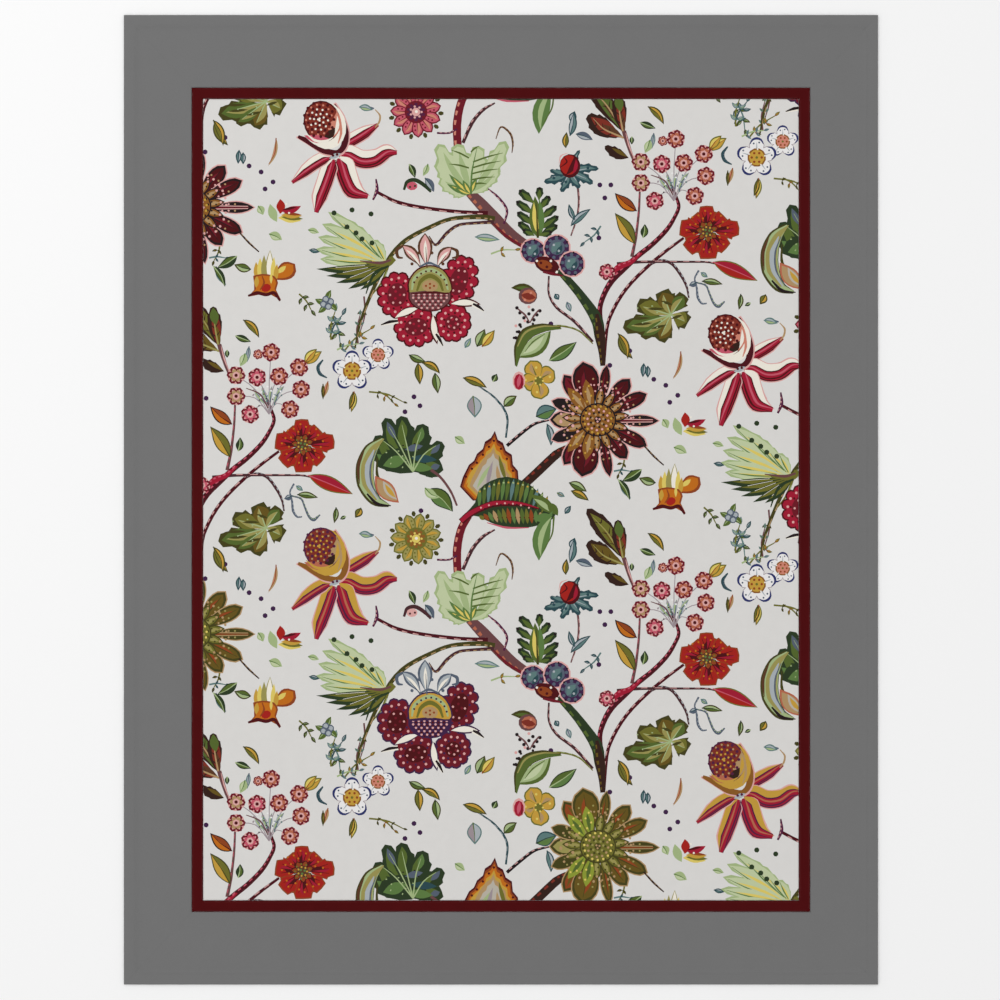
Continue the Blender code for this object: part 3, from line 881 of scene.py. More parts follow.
def dark_lobed_leaf(pen):
    """The dark green hand-shaped leaf with a curled pale leaf and a small clay one at its left."""
    base = 2 - 18j
    for tip, width, bend in DARK_LOBES:
        toothed(pen, "green_dark", base, tip, width + 2, 5, bend, depth=0.14, belly=0.64)
    for number, (tip, width, bend) in enumerate(DARK_LOBES):
        ink = ("slate", "moss", "green")[number % 3]
        end = tip * 0.93 + base * 0.07
        pen.blade("moss", base, end, width - 4, bend, belly=0.64, steps=7)
        pen.blade("green_dark", base, end, width - 4, bend, belly=0.64, sides=(0.1, 1), steps=7)
        pen.blade(ink, base * 0.4 + tip * 0.6, end, width * 0.34, bend, steps=5)
    pen.disc("green_dark", -8 - 7j, 24, 13, sides=13)
    pen.blade("green", -28 - 12j, -4 - 4j, 12, steps=7)
    pen.blade("green", -4 - 12j, 22 - 15j, 9, steps=6)
    pen.blade("teal_dark", 0 - 4j, 26 - 6j, 8, steps=6)
    pen.blade("slate", -6 + 4j, 12 + 8j, 7, steps=6)
    flecks(pen, "sage", -12 - 4j, 17, 10, 8, 1.1)
    flecks(pen, "ink_black", 4 + 2j, 16, 12, 8, 1.2)
    for tip in (-22 + 27j, -9 + 29j, 10 + 22j, 25 + 8j, -29 + 14j):
        pen.stroke("sage", [base, tip * 0.5 - 5j, tip], [1.4, 1.2, 0.4], steps=3)
    pen.stroke("mauve", (20 - 16j, 30 - 24j, 40 - 38j, 46 - 52j), [3, 2.6, 2.4, 2])
    curled = (-29 + 15j, -40 + 4j, -46 - 12j, -45 - 30j, -36 - 46j, -22 - 52j)
    pen.stroke("olive_dark", curled, [4, 14, 18, 18, 12, 3])
    pen.stroke("sage", [p + 0.8 for p in curled], [2, 11, 15, 15, 8, 1.5])
    pen.stroke("khaki", [p + 1.8 for p in curled[:5]], [1, 7, 11, 11, 3])
    pen.stroke("haze", [p + 3 for p in curled[1:5]], [1, 6, 5, 1])
    pen.stroke("slate", [p + 5.5 for p in curled[1:5]], [0.6, 1.6, 1.6, 0.6])
    pen.stroke("brown", [p - 6.5 for p in curled[1:4]], [0.6, 3, 3, 0.6])
    pen.stroke("olive_dark", (-34 - 4j, -34 - 20j, -30 - 28j), [1, 3, 1.4])
    pen.stroke("ink_black", (-44 - 40j, -34 - 50j, -20 - 52j), [1.6, 3.4, 1])
    pen.blade("clay", -36 - 22j, -12 - 49j, 17, bend=-0.08, steps=8)
    pen.blade("tan", -34 - 25j, -14 - 47j, 14, bend=-0.08, steps=8)
    pen.blade("stone", -28 - 27j, -14 - 46j, 8, bend=-0.1, steps=7)
    pen.blade("gold", -26 - 30j, -15 - 44j, 4.5, bend=-0.1, steps=5)


# Lobes of the olive leaf: tip, width and bend
OLIVE_LOBES = (
    (-34 - 11j, 20, 0.05), (-20 + 12j, 20, -0.06), (5 + 26j, 21, -0.04), (28 + 22j, 17, 0.05),
    (31 - 6j, 20, 0.05), (2 - 24j, 18, 0.08), (-16 - 20j, 14, 0.08),
)
# Its dark slits, from and to
OLIVE_SLITS = (
    (-28 - 2j, -6 - 1j), (-24 - 8j, -4 - 6j), (-10 + 8j, 8 + 8j), (-6 - 12j, 10 - 8j),
    (4 + 16j, 16 + 12j), (14 - 2j, 26 + 2j),
)


def olive_leaf(pen):
    """A ragged olive leaf of seven lobes lying to the left."""
    base = 14 + 2j
    for tip, width, bend in OLIVE_LOBES:
        toothed(pen, "olive_dark", base, tip, width + 2, 4, bend, depth=0.22, belly=0.64)
    for number, (tip, width, bend) in enumerate(OLIVE_LOBES):
        ink = ("moss", "olive", "umber")[number % 3]
        pen.blade(ink, base, tip * 0.93 + base * 0.07, width - 4, bend, belly=0.64, steps=7)
        pen.blade("khaki", base, tip * 0.84 + base * 0.16, width * 0.5, bend, sides=(1, 0.1), steps=6)
        pen.stroke("sage", [base, tip * 0.8 + base * 0.2], [1.5, 0.4])
    for start, end in OLIVE_SLITS:
        pen.blade("olive_dark", start, end, 3, steps=4)
    flecks(pen, "sage", -4 + 2j, 22, 14, 9, 1.1)


# Beads on the stalks below the small bud
BUD_BEADS = (
    -11 - 12j, -8 - 17j, -4 - 22j, -26j, 1 - 18j, 5 - 14j, 9 - 19j, 12 - 15j, 6 - 24j, -8 - 29j,
    -9 - 36j, -12 - 42j,
)


def red_bud(pen):
    """A small rose brown bud under a green cap, with beaded stalks below."""
    pen.blade("olive_dark", 8 + 5j, -17 + 8j, 9, bend=-0.12, steps=6)
    pen.blade("moss", 6 + 5j, -13 + 8j, 4, bend=-0.12, steps=5)
    pen.disc("mauve", 0, 9.5, 8.5, sides=12)
    pen.disc("clay", 1, 7.4, 6.4, sides=10)
    pen.blade("brick", -7 + 1j, 8 - 2j, 7, steps=5)
    pen.dots("salmon", (3 + 3j, -3 - 4j), 1.4)
    pen.dots("ink_black", BUD_BEADS, 1.9)
    pen.stroke("mauve", (-10 - 13j, -3 - 19j, 2 - 27j), [1.4, 2, 1])
    pen.stroke("mauve", (11 - 14j, 6 - 20j, 2 - 27j), [1.4, 2, 1])
    pen.dots("pink", (1 - 11j, -3 - 25j, -12 - 30j), 1.6)


def curved_leaf(pen):
    """A sickle leaf that bows over the golden flower."""
    spine = (30 + 12j, 12 + 12j, -4 + 6j, -12 - 8j, -15 - 26j)
    pen.stroke("olive_dark", spine, [2, 9, 13, 10, 2])
    pen.stroke("moss", [p + 0.6 - 0.8j for p in spine], [1, 6, 10, 7, 1.2])
    pen.blade("moss", 20 + 9j, -11 - 18j, 18, bend=0.1, steps=8)
    pen.blade("sage", 18 + 8j, -11 - 16j, 14, bend=0.06, steps=8)
    pen.blade("pale_green", 13 + 4j, -8 - 14j, 6, bend=0.12, steps=6)
    pen.stroke("khaki", [p + 1.4j - 1.4 for p in spine[:4]], [0.5, 1.6, 2, 1])
    pen.stroke("moss", (14 + 6j, 2 - 2j, -6 - 12j), [0.6, 1.4, 0.5])
    pen.dots("ink_black", (-14 + 8j, -10 + 13j, -17 + 2j, 2 + 16j), 1.4)


# The twining stems, thick to thin: the points each passes, its widths, its ink and that of its lit side
STEMS = (
    ((103 + 136j, 106 + 171j, 111 + 187j, 121 + 205j, 135 + 222j, 159 + 244j, 183 + 262j),
     (3.2, 3.4, 3.6, 3.6, 3.6, 3.4, 2.6), "wine_dark", "pink"),
    ((149 + 235j, 160 + 239.5j, 171 + 236j, 180 + 225j, 186 + 213j, 188 + 202j),
     (1.6, 2.8, 3, 3, 2.4, 1.6), "mauve_dark", "haze"),
    ((116 + 236j, 140 + 238j, 176 + 238j, 204 + 238j, 216 + 236j), (3.4, 3, 2.2, 2, 2), "mauve_dark", "pink"),
    ((131 + 243j, 135 + 262j, 138 + 288j, 139 + 310j), (3.6, 3, 2.4, 2), "mauve", "rose"),
    ((101 + 168j, 99 + 190j, 103 + 205j, 111 + 219j, 123 + 231j, 137 + 244j, 151 + 255j, 165 + 269j,
      173 + 281j, 178 + 293j, 175 + 304j, 170 + 316j),
     (5, 5, 5.4, 6, 6, 5.5, 5, 4.6, 4, 3.6, 3.2, 2.4), "wine_dark", "rose"),
    ((110 + 226j, 118 + 233j, 130 + 238j, 141 + 247j), (4, 6, 5, 1.4), "crimson", "rose"),
    ((102 + 134j, 101 + 148j, 99 + 164j, 95 + 182j, 78 + 207j, 58 + 230j),
     (5, 6.5, 11, 12, 8.5, 7), "green_dark", "moss"),
    ((102 + 134j, 101 + 148j, 99 + 166j, 96 + 186j), (5, 6.5, 10, 3), "brown_dark", "umber"),
    ((40 + 247j, 24 + 256j, 9 + 266j, -6 + 281j, -20 + 296j, -33 + 309j),
     (8, 9, 12, 13, 12, 9), "mauve", "clay"),
    ((40 + 244j, 24 + 252j, 6 + 263j, -10 + 279j), (3, 3.4, 3.4, 1.4), "wine", "brown"),
    ((3 + 276j, 6 + 290j, -3 + 303j, -14 + 312j), (2, 2.6, 2.4, 1.2), "plum", "pink"),
    ((-6 + 281j, -20 + 283j, -50 + 281j, -75 + 271j, -96 + 259j, -111 + 243j, -125 + 217j, -140 + 180j,
      -146 + 152j),
     (5, 5, 4, 4.2, 4.6, 4.4, 4, 3, 1.6), "olive_dark", "tan"),
    ((-7 + 278j, -24 + 277j, -42 + 275j, -54 + 267j, -65 + 255j, -72 + 264j),
     (4, 3, 3, 3.4, 3, 1), "mauve_dark", "tan"),
    ((-13 + 287j, -40 + 288j, -76 + 292j, -104 + 298j, -126 + 309j),
     (4, 3.6, 3.6, 3.6, 3), "wine_dark", "pink"),
    ((-128 + 300j, -124 + 310j, -125 + 321j), (2, 3.5, 1.5), "plum", "pink"),
    ((-110 + 243j, -118 + 220j, -128 + 206j), (3, 2.4, 1), "olive", "sage"),
    ((-43 - 78j, -44 - 52j, -40 - 30j, -32 - 16j), (8, 8.5, 8, 7), "wine", "salmon"),
    ((-38 - 70j, -29 - 50j, -18 - 37j, -6 - 30j), (3.4, 3.8, 3.4, 1.6), "mauve_dark", "pink"),
    ((24 + 16j, 38 + 29j, 55 + 45j, 66 + 52j), (9, 9, 9, 6), "brown_dark", "brick"),
    ((6 + 54j, 20 + 66j, 34 + 76j, 50 + 80j), (3.4, 3.4, 3, 1.6), "ink_black", "pink"),
    ((5 + 62j, 6 + 84j, -6 + 102j, -26 + 116j), (2, 2.4, 2, 1.4), "teal_dark", "haze"),
    ((48 + 224j, 48 + 206j, 56 + 192j, 74 + 178j, 92 + 158j),
     (1.8, 2.2, 2.8, 3.2, 2.6), "mauve_dark", "pink"),
    ((42 + 173j, 60 + 174j, 78 + 169j, 92 + 156j), (1.6, 2, 1.8, 1), "olive", "sage"),
    ((-64 - 60j, -52 - 60j, -44 - 56j), (2, 2, 2), "plum", "pink"),
    ((76 + 320j, 78 + 300j, 76 + 282j, 70 + 264j), (2.4, 2.2, 2, 1.4), "mauve", "pink"),
    ((-5 - 66j, 0 - 54j, 9 - 60j, 12 - 70j, 11 - 80j), (0.8, 1.8, 2.2, 2, 0.8), "brown", "tan"),
    ((-138 + 240j, -148 + 220j), (2, 1.5), "olive", "sage"),
    ((-262 + 268j, -252 + 257j, -242 + 248j), (1.6, 2, 1.2), "brown_dark", "tan"),
    ((-178 + 140j, -183 + 133j, -181 + 126j, -174 + 122j), (1.4, 3.4, 3.4, 1.2), "teal_dark", "slate"),
    ((-207 + 16j, -211 + 8j, -209 - 1j, -208 - 11j, -204 - 17j, -199 - 17j),
     (2, 1.6, 2, 2.6, 2, 1.4), "slate", "haze"),
    ((-210 + 4j, -200 + 1j, -196 - 8j, -192 - 17j, -187 - 20j, -181 - 15j),
     (1.6, 2, 2, 2.4, 3.4, 1.4), "slate", "sage"),
)


def stem(pen, points, widths, ink, lit):
    """A stem with a lit side and short bars of shade along it."""
    pen.stroke(ink, points, widths)
    line = smooth_line(points, 5)
    spread = spread_widths(line, widths)
    for index in range(1, len(line) - 2, 2):
        heading = line[index + 1] - line[index - 1]
        outward = 1j * heading / abs(heading) * spread[index]
        start, end = line[index] + outward * 0.24, line[index + 1] + outward * 0.24
        pen.stroke(lit, [start, end], [spread[index] * 0.2, spread[index] * 0.3])


# Small leaves between the flowers: base, tip, width, bend and which set of inks
SMALL_LEAVES = (
    (-264 + 244j, -284 + 232j, 10, 0.1, "dark"), (-232 + 266j, -219 + 260j, 9, 0.1, "light"),
    (-243 + 294j, -238 + 285j, 8, 0.1, "light"), (-288 + 234j, -276 + 213j, 7, 0.15, "dark"),
    (-288 + 380j, -278 + 354j, 8, 0.2, "olive"), (-262 + 350j, -263 + 336j, 6, 0, "teal"),
    (-225 + 362j, -233 + 334j, 4, 0.2, "tan"), (-193 + 270j, -182 + 267j, 6, 0.1, "light"),
    (-192 + 250j, -181 + 248j, 5, 0, "teal"), (-142 + 393j, -128 + 390j, 7, 0.1, "sage"),
    (-258 + 180j, -242 + 162j, 8, 0.2, "olive"), (-266 + 164j, -250 + 158j, 7, 0, "dark"),
    (-274 + 150j, -274 + 142j, 5, 0, "dark"), (-196 + 137j, -184 + 151j, 9, 0.1, "ochre"),
    (-209 + 4j, -217 + 1j, 6, 0.1, "slate"), (-204 + 5j, -183 + 2j, 7, 0.1, "moss"),
    (-205 + 14j, -198 + 9j, 5, 0, "sage"), (-73 + 336j, -78 + 324j, 6, 0.1, "light"),
    (-178 + 116j, -178 + 100j, 4, 0, "olive"), (-148 + 108j, -152 + 90j, 6, 0.1, "olive"),
    (-92 + 145j, -75 + 138j, 8, -0.1, "moss"), (-83 + 137j, -81 + 115j, 9, 0, "olive"),
    (-79 + 137j, -61 + 126j, 8, 0.25, "olive"), (-66 + 127j, -63 + 106j, 9, 0, "moss"),
    (-26 + 263j, -1 + 260j, 8, 0.05, "sage"), (-24 + 153j, -16 + 171j, 11, 0, "moss"),
    (-19 + 153j, -6 + 170j, 10, 0, "ochre"), (-36 + 152j, -30 + 162j, 6, 0, "sage"),
    (-38 + 122j, -14 + 112j, 9, 0.1, "olive"), (-8 + 118j, -4 + 126j, 7, 0, "dark"),
    (-28 + 104j, -26 + 82j, 15, 0.05, "lilac"), (3 + 93j, 16 + 104j, 10, 0.1, "moss"),
    (35 + 83j, 56 + 91j, 15, 0.1, "fern"), (46 + 76j, 50 + 54j, 8, 0.15, "teal"),
    (48 + 139j, 76 + 158j, 13, -0.05, "green"), (54 + 206j, 58 + 200j, 6, 0, "teal"),
    (66 + 198j, 70 + 188j, 6, 0, "haze"), (118 + 164j, 132 + 141j, 9, -0.15, "olive"),
    (147 + 134j, 147 + 122j, 6, 0, "teal"), (-74 + 10j, -48 - 12j, 17, 0.15, "green"),
    (-76 + 12j, -62 + 2j, 9, -0.2, "light"), (-46 + 63j, -36 + 56j, 8, 0, "light"),
    (-140 - 8j, -146 - 18j, 8, 0.1, "olive"),
    (69 + 364j, 73 + 388j, 8, -0.1, "teal"),
    (65 + 352j, 66 + 368j, 7, 0.1, "olive"), (75 + 366j, 92 + 360j, 8, 0.1, "slate"),
    (70 + 274j, 90 + 291j, 8, 0.1, "teal"), (74 + 280j, 68 + 296j, 6, 0.1, "teal"),
    (136 + 289j, 114 + 307j, 12, 0.1, "rust"), (134 + 256j, 114 + 287j, 14, -0.05, "olive"),
    (142 + 262j, 144 + 276j, 8, -0.1, "dark"),
    (153 + 367j, 151 + 351j, 5, 0, "haze"), (149 + 360j, 144 + 347j, 8, 0.1, "light"),
    (240 + 206j, 238 + 190j, 6, 0.1, "moss"), (250 + 197j, 244 + 194j, 4, 0, "dark"),
    (210 + 349j, 226 + 362j, 10, 0.1, "ochre"), (232 + 332j, 228 + 316j, 5, 0, "tan"),
    (258 + 322j, 255 + 301j, 7, 0.1, "ochre"), (120 + 20j, 130 + 1j, 7, -0.1, "haze"),
    (155 + 17j, 138 + 22j, 9, 0.1, "moss"), (68 + 17j, 86 + 8j, 9, 0.1, "moss"),
    (70 + 9j, 88 - 1j, 8, 0.1, "olive"), (56 + 7j, 64 + 3j, 5, 0, "lilac"),
    (64 - 14j, 70 - 6j, 6, 0, "teal"), (70 - 49j, 74 - 38j, 8, 0, "teal"),
    (-92 + 336j, -86 + 322j, 7, 0.1, "dark"), (-76 + 322j, -67 + 308j, 8, 0.1, "slate"),
    (212 + 238j, 257 + 219j, 15, 0.02, "pod"),
)

# Inks of a small leaf: its edge, its body, its lighter half and its vein
LEAF_INKS = {
    "dark": ("green_dark", "moss", "green_dark", "sage"),
    "light": ("sage", "pale_green", "sage", "green"),
    "olive": ("olive_dark", "olive", "gold", "olive_dark"),
    "teal": ("teal_dark", "teal", "haze", "teal_dark"),
    "sage": ("teal", "sage", "haze", "teal"),
    "tan": ("tan", "salmon", "tan", "rust"),
    "moss": ("olive_dark", "moss", "sage", "green_dark"),
    "ochre": ("olive", "gold", "yellow", "rust"),
    "lilac": ("teal", "lilac", "haze", "moss"),
    "green": ("green_dark", "green", "moss", "sage"),
    "haze": ("teal", "haze", "haze", "slate"),
    "fern": ("teal_dark", "green", "teal", "green_dark"),
    "slate": ("slate", "haze", "slate", "teal_dark"),
    "rust": ("brown_dark", "rust", "orange", "maroon"),
    "pod": ("olive", "scarlet", "crimson", "rose"),
}

# Twigs of tiny paired leaves: foot, tip, pairs of leaves, leaf length, stalk ink and leaf set
TWIGS = (
    (-202 + 206j, -190 + 190j, 2, 8, "olive", "moss"),
    (-170 + 160j, -166 + 188j, 2, 9, "olive", "sage"), (-164 + 150j, -142 + 156j, 2, 6, "sage", "haze"),
    (-132 + 108j, -98 + 98j, 2, 5, "olive", "olive"), (100 + 274j, 84 + 258j, 2, 7, "teal", "teal"),
    (234 + 376j, 246 + 398j, 2, 9, "teal_dark", "teal"), (262 + 370j, 264 + 398j, 2, 6, "mauve", "lilac"),
    (248 + 362j, 274 + 384j, 2, 7, "olive", "ochre"), (-10 + 246j, 14 + 250j, 1, 7, "sage", "ochre"),
    (236 - 30j, 244 - 56j, 2, 9, "teal", "moss"),
    (268 - 10j, 264 - 46j, 1, 6, "mauve", "olive"), (124 + 44j, 118 + 26j, 1, 6, "olive", "olive"),
    (282 + 322j, 298 + 310j, 1, 6, "olive", "ochre"), (-292 + 242j, -276 + 242j, 1, 5, "teal", "teal"),
)

# Loose beads of dark ink beside the flowers
BEADS = (
    -240 + 328j, -228 + 318j, -236 + 311j, -87 + 103j, -96 + 88j, -81 + 94j, 99 + 315j, 110 + 315j,
    104 + 302j, -296 + 348j, -252 + 334j, 129 + 149j, -80 - 11j, 98 + 262j, 50 + 176j,
)


def twig(pen, foot, tip, pairs, length, stalk, leaves):
    """A thin stalk with small leaves in pairs and one at its end."""
    pen.stroke(stalk, [foot, (foot + tip) / 2 + (tip - foot) * 0.08j, tip], [1.8, 1.6, 1], steps=3)
    along = direction(foot, tip)
    for pair in range(pairs):
        root = foot + (tip - foot) * (pair + 0.6) / (pairs + 0.4)
        for side in (1, -1):
            end = root + along * length * complex(0.5, 0.8 * side)
            leaf(pen, LEAF_INKS[leaves], root, end, length * 0.45, bend=0.15 * side, edge=0.9)
    leaf(pen, LEAF_INKS[leaves], tip, tip + along * length, length * 0.45, bend=0, edge=0.9)


# Inks of the motifs that take turns down the cloth, in the order that each function names them
CHRYSANTHEMUM_INKS = (
    ("ink_black", "maroon", "wine", "pink", "brown_gold", "tan", "gold", "brown_gold", "tan"),
    ("olive_dark", "umber", "rust", "tan", "olive", "khaki", "yellow", "lime", "moss"),
)
ORCHID_INKS = (
    ("maroon", "crimson", "rose", "brick", "salmon", "cream", "wine_dark", "cream"),
    ("plum", "crimson", "clay", "brick", "tan", "gold", "brown_gold", "gold"),
)
ROSETTE_INKS = (
    ("maroon", "crimson", "wine", "pink", "mauve", "khaki", "brown", "pink"),
    ("violet", "wine", "maroon", "pink", "violet", "gold", "slate", "haze"),
)
SUNFLOWER_INKS = (
    ("olive", "khaki", "gold", "brown_gold", "yellow"),
    ("wine", "rose", "salmon", "plum", "pink"),
)
HOODED_BUD_INKS = (("green_dark", "rose"), ("mauve_dark", "pink"))
PAIRED_LEAF_INKS = (
    ("brown_dark", ("moss", "brick", "brick"), "brown", "tan"),
    ("brown_dark", ("olive", "brick", "umber"), "umber", "khaki"),
)


def draw_repeat(pen, way):
    """One repeat of the print. way 0 and 1 are its two colourings, which take turns down the cloth."""
    for words in STEMS:
        stem(pen, *words)
    for words in TWIGS:
        twig(pen, *words)
    for base, tip, width, bend, inks in SMALL_LEAVES:
        leaf(pen, LEAF_INKS[inks], base, tip, width, bend, edge=1.2)
    pen.dots("violet", BEADS, 2.6)
    serrated_leaf(pen.at(-30 + 306j))
    feathery_leaf(pen.at(-115 + 236j))
    dark_lobed_leaf(pen.at(-90 + 46j))
    olive_leaf(pen.at(156 + 183j))
    artichoke_leaf(pen.at(-2 + 27j))
    paired_leaves(pen.at(109 + 382j), *PAIRED_LEAF_INKS[way])
    curved_leaf(pen.at(30 + 160j))
    fern_leaf(pen.at(37 + 266j))
    disc_flower(pen.at(50 + 241j))
    red_bud(pen.at(27 + 204j))
    gold_flower(pen.at(37 + 120j))
    rose_bud(pen.at(69 + 334j))
    hooded_bud(pen.at(-89 + 314j), *HOODED_BUD_INKS[way])
    hazy_flower(pen.at(-174 + 197j))
    tulip(pen.at(-214 + 288j))
    bell_flower(pen.at(-235 + 222j))
    blue_edged_flower(pen.at(-123 + 145j), 0.8, "salmon")
    blue_edged_flower(pen.at(-149 + 129j), 1.0)
    berry_cluster(pen.at(172 + 329j))
    floret(pen.at(106 + 228j), 0.9, "rose")
    floret(pen.at(162 + 359j), 0.55, "clay")
    dahlia(pen.at(206.5 + 268.5j, size=0.94))
    sunflower(pen.at(-85 - 39j), SUNFLOWER_INKS[way])
    rosette(pen.at(-70 + 204j), ROSETTE_INKS[way])
    orchid(pen.at(241 + 131j), ORCHID_INKS[way])
    chrysanthemum(pen.at(105 + 81j), CHRYSANTHEMUM_INKS[way])


# The cloth in section, in metres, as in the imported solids
CLOTH_THICKNESS = 0.0024
TRIM_WIDTH = 0.021
HEM_TURN = 0.024
HEM_THICKNESS = 0.0042
SEAM_GAP = 0.0003
# The mitred ends are sewn edge to edge
MITRE_GAP = 0.00006

PANEL_SIZE = PANEL_HIGH - PANEL_LOW
THROW_SIZE = THROW_HIGH - THROW_LOW
SIDE_BORDER = (THROW_SIZE.x - PANEL_SIZE.x - 2 * SEAM_GAP) / 2 - TRIM_WIDTH
END_BORDER = (THROW_SIZE.y - PANEL_SIZE.y - 2 * SEAM_GAP) / 2 - TRIM_WIDTH

# Unevenness of cloth spread by hand: length and height of its waves, and where in the noise they lie
WAVES = ((0.34, 0.00030, 3.1), (0.09, 0.00012, 7.7))
# Puckers that the sewing draws up beside a seam: their length, height and reach from the seam
PUCKER_LENGTH, PUCKER_HEIGHT, PUCKER_REACH = 0.017, 0.00035, 0.010
PUCKER_LAYER = 0.5


def unevenness(x, y):
    """How far the top of the cloth stands off its even height at a place."""
    return sum(
        height * noise.noise(Vector((x / length, y / length, layer))) for length, height, layer in WAVES
    )


def pucker(along, distance, seed):
    """The lift of a pucker at a place along a seam and a distance from it."""
    wave = noise.noise(Vector((along / PUCKER_LENGTH * 2, seed, PUCKER_LAYER)))
    return PUCKER_HEIGHT * wave * math.exp(-distance / PUCKER_REACH)


# Distances in from the panel's edge of the rings of points that shape its seam, and their drop
PANEL_RINGS = ((0.0, 0.0011), (0.0006, 0.0005), (0.0016, 0.0001), (0.004, 0.0), (0.009, 0.0))
RING_STEP = 0.005
GRID_STEP = 0.016
# The panel's edge goes down to its foot and from there in to its sole, on which it lies
PANEL_FOOT_HEIGHT = CLOTH_THICKNESS * 0.3
PANEL_SOLE_HEIGHT = 0.0002
PANEL_SOLE_INSET = 0.0005


def rectangle_ring(half_x, half_y, step):
    """Points round a rectangle about the origin, anticlockwise from its lower left corner."""
    across, up = (max(2, round(2 * half / step)) for half in (half_x, half_y))
    level = [-half_x + 2 * half_x * number / across for number in range(across)]
    upright = [-half_y + 2 * half_y * number / up for number in range(up)]
    return (
        [(x, -half_y) for x in level] + [(half_x, y) for y in upright]
        + [(-x, half_y) for x in level] + [(-half_x, -y) for y in upright]
    )


# A point of an outline this near to the line between its neighbours is left out
THINNING = 0.00028


def thinned(line):
    """An outline without every second point that hardly bends it."""
    if len(line) < 6:
        return line
    before, after = np.roll(line, 1), np.roll(line, -1)
    chord = after - before
    off_line = abs(((line - before) * chord.conjugate()).imag) / np.maximum(abs(chord), 1e-9)
    dropped = (off_line < THINNING) & (np.arange(len(line)) % 2 == 1)
    return line[~dropped]


def print_shapes(half_x, half_y):
    """The inked outlines that reach the panel, in the order they were drawn, in metres."""
    drawn = []
    for across in REPEATS_ACROSS:
        for along in REPEATS_ALONG:
            pen = Pen(drawn, REPEAT_RIGHT * across + REPEAT_DOWN * along)
            draw_repeat(pen, along % 2)
    shapes = []
    for ink, outline in drawn:
        line = np.array(outline) * DRAFT_SQUARE
        if (abs(line.real).min() < half_x and abs(line.imag).min() < half_y
                and line.real.max() > -half_x and line.real.min() < half_x
                and line.imag.max() > -half_y and line.imag.min() < half_y):
            shapes.append((ink, thinned(thinned(line))))
    return shapes


def inside(points, outline):
    """Which of the points an outline winds round."""
    start, end = outline[None, :], np.roll(outline, -1)[None, :]
    spot = points[:, None]
    across, spot_off = end - start, spot - start
    turn = across.real * spot_off.imag - spot_off.real * across.imag
    rises = (start.imag <= spot.imag) & (end.imag > spot.imag) & (turn > 0)
    falls = (start.imag > spot.imag) & (end.imag <= spot.imag) & (turn < 0)
    return rises.sum(axis=1) != falls.sum(axis=1)


def inks_at(points, shapes):
    """The ink of the topmost shape at each point, as an index into INKS. The first ink is the ground."""
    names = list(INKS)
    found = np.zeros(len(points), int)
    order = np.argsort(points.real)
    level, height = points.real[order], points.imag[order]
    for ink, outline in shapes:
        first, last = np.searchsorted(level, (outline.real.min(), outline.real.max()))
        near = (height[first:last] > outline.imag.min()) & (height[first:last] < outline.imag.max())
        picked = order[first:last][near]
        if len(picked):
            found[picked[inside(points[picked], outline)]] = names.index(ink)
    return found


def triangulated(points, edges):
    """A plane cut into triangles along edges: its points as complex numbers, and its triangles."""
    spread = [Vector((p.real, p.imag)) for p in points]
    found, _, faces, *_ = delaunay_2d_cdt(spread, edges, [], 0, 1e-6, False)
    return np.array([complex(p.x, p.y) for p in found]), np.array([face[:] for face in faces])


def loop_edges(first, count):
    """The edges of a closed line of points that starts at the first."""
    return [(first + number, first + (number + 1) % count) for number in range(count)]


def outlines_where_inks_meet(shapes):
    """The lines along which one ink shows beside another, after later shapes cover earlier ones."""
    points, edges = [], []
    for _, outline in shapes:
        edges.extend(loop_edges(len(points), len(outline)))
        points.extend(outline)
    spots, faces = triangulated(points, edges)
    inked = inks_at(spots[faces].mean(axis=1), shapes)
    sides = np.sort(np.concatenate([faces[:, (0, 1)], faces[:, (1, 2)], faces[:, (2, 0)]]), axis=1)
    side_inks = np.tile(inked, 3)
    order = np.lexsort((sides[:, 1], sides[:, 0]))
    sides, side_inks = sides[order], side_inks[order]
    shared = (sides[1:] == sides[:-1]).all(axis=1)
    parted = shared & (side_inks[1:] != side_inks[:-1])
    kept = sides[1:][parted]
    used, kept = np.unique(kept, return_inverse=True)
    return spots[used], [tuple(pair) for pair in kept.reshape(-1, 2).tolist()]


def cut_along_print(shapes, half_x, half_y):
    """Points, triangles and inks of the panel, cut wherever one ink meets another."""
    spots, edges = outlines_where_inks_meet(shapes)
    points = list(spots)
    for inset, _ in PANEL_RINGS:
        ring = rectangle_ring(half_x - inset, half_y - inset, RING_STEP)
        edges.extend(loop_edges(len(points), len(ring)))
        points.extend(complex(*p) for p in ring)
    limit = PANEL_RINGS[-1][0] + GRID_STEP / 2
    points.extend(
        complex(x, y)
        for x in np.arange(-half_x + limit, half_x - limit, GRID_STEP)
        for y in np.arange(-half_y + limit, half_y - limit, GRID_STEP)
    )
    spots, faces = triangulated(points, edges)
    middles = spots[faces].mean(axis=1)
    kept = (abs(middles.real) < half_x) & (abs(middles.imag) < half_y)
    faces, middles = faces[kept], middles[kept]
    used, faces = np.unique(faces, return_inverse=True)
    return spots[used], faces.reshape(-1, 3), inks_at(middles, shapes)


def panel_height(x, y, half_x, half_y):
    """Height of the panel's top at a place, lower where it dips into its seam."""
    gap_x, gap_y = half_x - abs(x), half_y - abs(y)
    gap = max(0.0, min(gap_x, gap_y))
    insets, drops = zip(*PANEL_RINGS)
    lift = pucker(y if gap_x < gap_y else x, gap, 1.5 + (x > 0) + 2 * (y > 0))
    return CLOTH_THICKNESS + unevenness(x, y) - float(np.interp(gap, insets, drops)) + lift


def link(name, data):
    """A new object in the scene."""
    thing = bpy.data.objects.new(name, data)
    bpy.context.scene.collection.objects.link(thing)
    return thing


